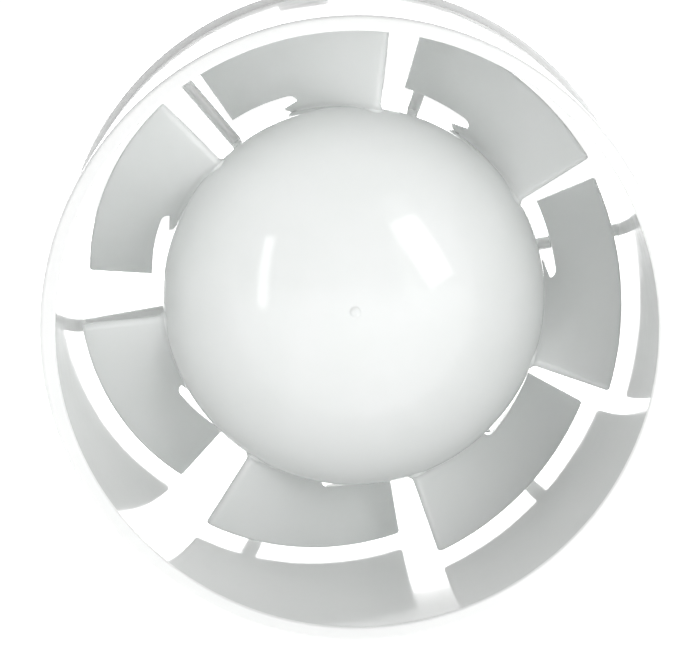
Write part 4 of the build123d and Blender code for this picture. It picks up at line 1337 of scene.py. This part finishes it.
# ---------------------------------------------------------------- studio
@dataclass
class Studio:
    """The pale floor, the soft lights and the camera."""

    camera_side: float = -7.65
    camera_distance: float = 500.0
    camera_height: float = 80.75
    camera_tilt: float = 9.12
    camera_turn: float = 0.69
    lens: float = 166.8
    hub_depth: float = 25.0
    box_distance: float = 420.0
    left_brightness: float = 4.2
    right_brightness: float = 4.4
    fill_brightness: float = 0.9
    back_brightness: float = 4.2
    ceiling_strength: float = 0.1
    surround_strength: float = 0.46
    floor_glow: float = 0.6

    def camera(self) -> None:
        """The camera in front of the intake, a little above the axis."""
        data = bpy.data.cameras.new("studio_camera")
        data.lens = self.lens
        data.sensor_width = 36.0
        data.clip_start = 0.01
        data.clip_end = 20.0
        camera = bpy.data.objects.new("studio_camera", data)
        bpy.context.scene.collection.objects.link(camera)
        tilt, turn = math.radians(self.camera_tilt), math.radians(self.camera_turn)
        ahead = math.cos(turn)
        forward = Vector((math.sin(turn), math.cos(tilt) * ahead, -math.sin(tilt) * ahead))
        camera.location = Vector((self.camera_side, -self.camera_distance, self.camera_height)) * MM
        camera.rotation_euler = forward.to_track_quat("-Z", "Y").to_euler()
        bpy.context.scene.camera = camera

    def floor(self) -> None:
        """A wide pale floor under the casing."""
        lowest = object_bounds()[0].z
        mesh = bmesh.new()
        bmesh.ops.create_grid(mesh, x_segments=1, y_segments=1, size=3.0)
        bmesh.ops.translate(mesh, verts=mesh.verts, vec=(0, 0, lowest))
        floor = make_object("floor", mesh)
        paper = bpy.data.materials.new("pale_floor")
        paper.use_nodes = True
        shader = paper.node_tree.nodes["Principled BSDF"]
        shader.inputs["Base Color"].default_value = (0.92, 0.92, 0.92, 1)
        shader.inputs["Roughness"].default_value = 0.9
        shader.inputs["Emission Color"].default_value = (1, 1, 1, 1)
        shader.inputs["Emission Strength"].default_value = self.floor_glow
        floor.data.materials.append(paper)
        floor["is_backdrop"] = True

    def soft_box(self, name: str, side: float, rise: float, size: tuple[float, float], roll: float,
                 brightness: float) -> None:
        """One rectangular soft box that faces the hub.

        Args:
            name: Name of the light.
            side: Angle to the right of straight in front, in degrees.
            rise: Angle above the fan axis, in degrees.
            size: Its width and height, in metres.
            roll: How far its top leans to the left, in degrees.
            brightness: Its surface brightness, where white paper in full light is one.
        """
        data = bpy.data.lights.new(name, "AREA")
        data.shape = "RECTANGLE"
        data.size, data.size_y = size
        data.energy = brightness * math.pi * size[0] * size[1]
        lamp = bpy.data.objects.new(name, data)
        bpy.context.scene.collection.objects.link(lamp)
        turn, lift = math.radians(side), math.radians(rise)
        away = Vector((math.sin(turn) * math.cos(lift), -math.cos(turn) * math.cos(lift), math.sin(lift)))
        lamp.location = Vector((0, self.hub_depth * MM, 0)) + away * self.box_distance * MM
        facing = (-away).to_track_quat("-Z", "Y").to_matrix().to_4x4()
        lamp.rotation_euler = (facing @ Matrix.Rotation(math.radians(roll), 4, "Z")).to_euler()
        lamp.visible_camera = False

    def lights(self) -> None:
        """Two soft boxes in front, soft light from above and a bright surround."""
        self.soft_box("left_soft_box", -34.0, 6.0, (0.035, 0.19), 0.0, self.left_brightness)
        self.soft_box("right_fill", 42.0, 16.0, (0.4, 0.4), 0.0, self.fill_brightness)
        self.soft_box("right_soft_box", 27.0, 14.0, (0.09, 0.20), 28.0, self.right_brightness)
        self.soft_box("back_light", 180.0, 0.0, (0.9, 0.9), 0.0, self.back_brightness)
        data = bpy.data.lights.new("ceiling_light", "SUN")
        data.energy = self.ceiling_strength
        data.angle = math.radians(70)
        lamp = bpy.data.objects.new("ceiling_light", data)
        bpy.context.scene.collection.objects.link(lamp)
        lamp.rotation_euler = (math.radians(-20), 0.0, 0.0)
        world = bpy.data.worlds.new("bright_surround")
        world.use_nodes = True
        world.node_tree.nodes["Background"].inputs["Color"].default_value = (1, 1, 1, 1)
        world.node_tree.nodes["Background"].inputs["Strength"].default_value = self.surround_strength
        bpy.context.scene.world = world

    def build(self) -> None:
        """Set up the camera, the floor and the lights."""
        self.camera()
        self.floor()
        self.lights()
        bpy.context.scene.view_settings.view_transform = "Standard"


def main() -> None:
    """Build every sub-assembly in order."""
    logging.basicConfig(level=logging.INFO)
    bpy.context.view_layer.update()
    DuctCasing().build()
    Impeller().build()
    ScrewSet("rear_cap_screws", 3, 23.1, 30.0).build()
    ScrewSet("stator_screws", 4, 22.7, 45.0).build()
    CarriedParts(carried_finishes()).build()
    Studio().build()


if __name__ == "__main__":
    main()
